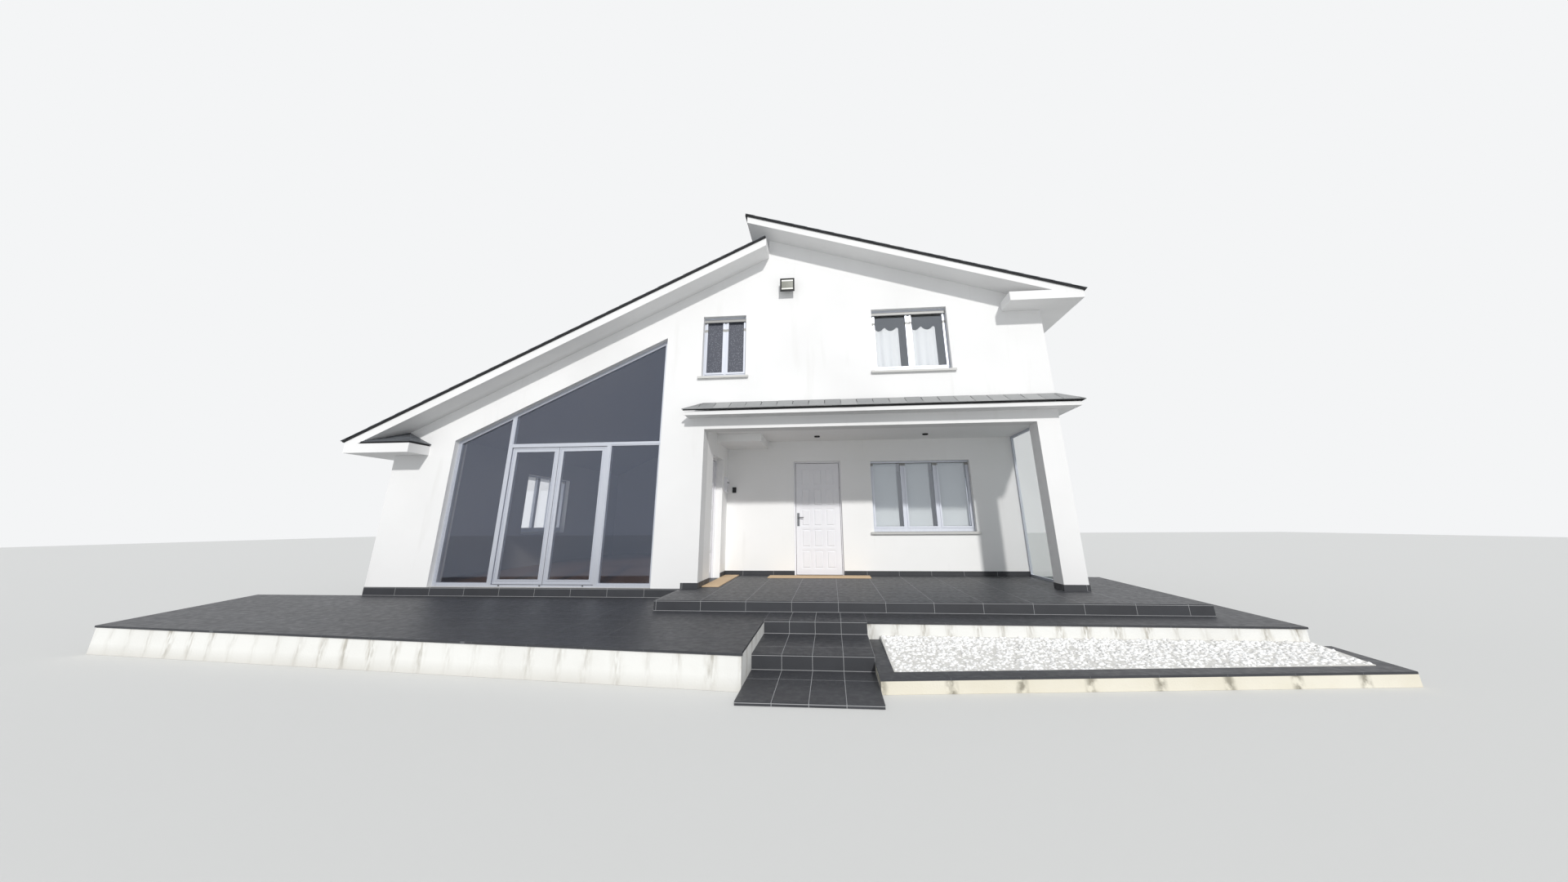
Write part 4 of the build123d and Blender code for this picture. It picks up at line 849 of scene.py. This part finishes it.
shader.inputs["Roughness"].default_value = 0.9
bump(tree, shader, noise(tree, place, 0.015, 5.0), 0.003, 0.6)
dress(["planter_kerb"], kerb_render)
kerb_tiles = tile_material("black kerb tile", (kerb_lo[0], kerb_lo[1] - WELL_AHEAD, 0),
                           KERB_TILE_L, ACROSS_ALL, GROUT_DIRTY)
dress(["planter_kerb_tiles"], kerb_tiles)
dress(["gravel_bed"], clouded("pebble bed base", BED_GREY, BED_PALE, 0.03, 0.9))

MARBLE, MARBLE_GREY = "F9F9F8", "D9D8D6"
marble, tree, shader, place = start_material("tumbled white marble")
each = add(tree, "NewGeometry").outputs["Random Per Island"]
greyer = between(tree, each, 0.55, 1.0)
tree.links.new(blend(tree, greyer, MARBLE, MARBLE_GREY), shader.inputs["Base Color"])
shader.inputs["Roughness"].default_value = 0.5
bed_lo, bed_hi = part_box("gravel_bed")
PEBBLES, PEBBLE_R, ROUGH_R, KNOCKED = 5600, 0.022, 1.15, 0.12
EDGE_TOP, PEBBLE_SINK, PEBBLE_SPREAD = 0.095, 0.003, 0.009
KERB_SKEW, KERB_LEAN, KERB_CLEAR = 0.1166, -0.157, 0.025
bpy.ops.object.select_all(action="DESELECT")
bpy.ops.mesh.primitive_ico_sphere_add(subdivisions=1, radius=ROUGH_R)
pebble = bpy.context.object
bpy.ops.object.mode_set(mode="EDIT")
bpy.ops.mesh.select_all(action="SELECT")
bpy.ops.transform.vertex_random(offset=KNOCKED, uniform=0.0, seed=3)
bpy.ops.object.mode_set(mode="OBJECT")
bpy.ops.object.shade_smooth()
places = []
while len(places) < PEBBLES:
    x = random.uniform(bed_lo[0] + KERB_CLEAR, bed_hi[0])
    y = random.uniform(bed_lo[1], bed_hi[1] - KERB_CLEAR)
    front_limit = bed_lo[1] + (x - bed_lo[0]) * KERB_SKEW + KERB_CLEAR
    right_limit = bed_hi[0] + (bed_hi[1] - y) * KERB_LEAN - KERB_CLEAR
    if y < front_limit or x > right_limit:
        continue
    back = (y - bed_lo[1]) / (bed_hi[1] - bed_lo[1])
    bed_z = EDGE_TOP + (bed_hi[2] - EDGE_TOP) * back
    z = bed_z - PEBBLE_SINK - random.uniform(0, PEBBLE_SPREAD)
    angle = random.uniform(0, math.tau)
    turn = Matrix.Rotation(angle, 4, Vector((random.random(), random.random(), 1)))
    size = PEBBLE_R * random.uniform(0.6, 1.25)
    wide, tall = size * random.uniform(0.8, 1.2), size * random.uniform(0.5, 0.85)
    shape = Matrix.Diagonal((wide, size, tall, 1))
    places.append(Matrix.Translation((x, y, z)) @ turn @ shape)
pebbles = merge(copies(pebble, places), "marble_pebbles")
pebbles.data.materials.clear()
pebbles.data.materials.append(marble)
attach(pebbles, "root")


# Studio
# Plain pale floor, a warm key from the front right as the sun stands in the photo, and a
# soft even sky around it.
FLOOR_SIDE, FLOOR_GREY, SKY_SEEN, SKY_TINT = 120, "DADAD8", "F4F5F6", (0.93, 0.96, 1.0, 1.0)
bpy.ops.object.select_all(action="DESELECT")
bpy.ops.mesh.primitive_plane_add(size=FLOOR_SIDE, location=(0, 0, -0.001))
studio_floor = bpy.context.object
studio_floor.name = "studio_floor"
pale, tree, shader, place = start_material("pale studio floor")
shader.inputs["Base Color"].default_value = paint(FLOOR_GREY)
shader.inputs["Roughness"].default_value = 0.9
studio_floor.data.materials.append(pale)

KEY_FROM, KEY_POWER, KEY_WIDTH = Vector((0.20, -0.75, 0.42)), 2.2, 2.5
KEY_TINT, SKY_POWER = (1.0, 0.985, 0.96), 0.67
key_data = bpy.data.lights.new("key", "SUN")
key_data.energy = KEY_POWER
key_data.angle = math.radians(KEY_WIDTH)
key_data.color = KEY_TINT
key = bpy.data.objects.new("key", key_data)
key.rotation_euler = KEY_FROM.to_track_quat("Z", "Y").to_euler()
bpy.context.scene.collection.objects.link(key)
sky = bpy.data.worlds.new("studio")
bpy.context.scene.world = sky
sky.use_nodes = True
tree = sky.node_tree
tree.nodes.clear()
soft = add(tree, "Background", {"Color": SKY_TINT, "Strength": SKY_POWER})
seen = add(tree, "Background", {"Color": paint(SKY_SEEN), "Strength": 1.0})
rays = add(tree, "LightPath").outputs
bent = calc(tree, "MAXIMUM", rays["Is Glossy Ray"], rays["Is Transmission Ray"])
white = calc(tree, "MAXIMUM", rays["Is Camera Ray"], bent)
mixed = add(tree, "MixShader", {0: white, 1: soft.outputs[0], 2: seen.outputs[0]})
add(tree, "OutputWorld", {0: mixed.outputs[0]})
bpy.context.scene.view_settings.view_transform = "Standard"
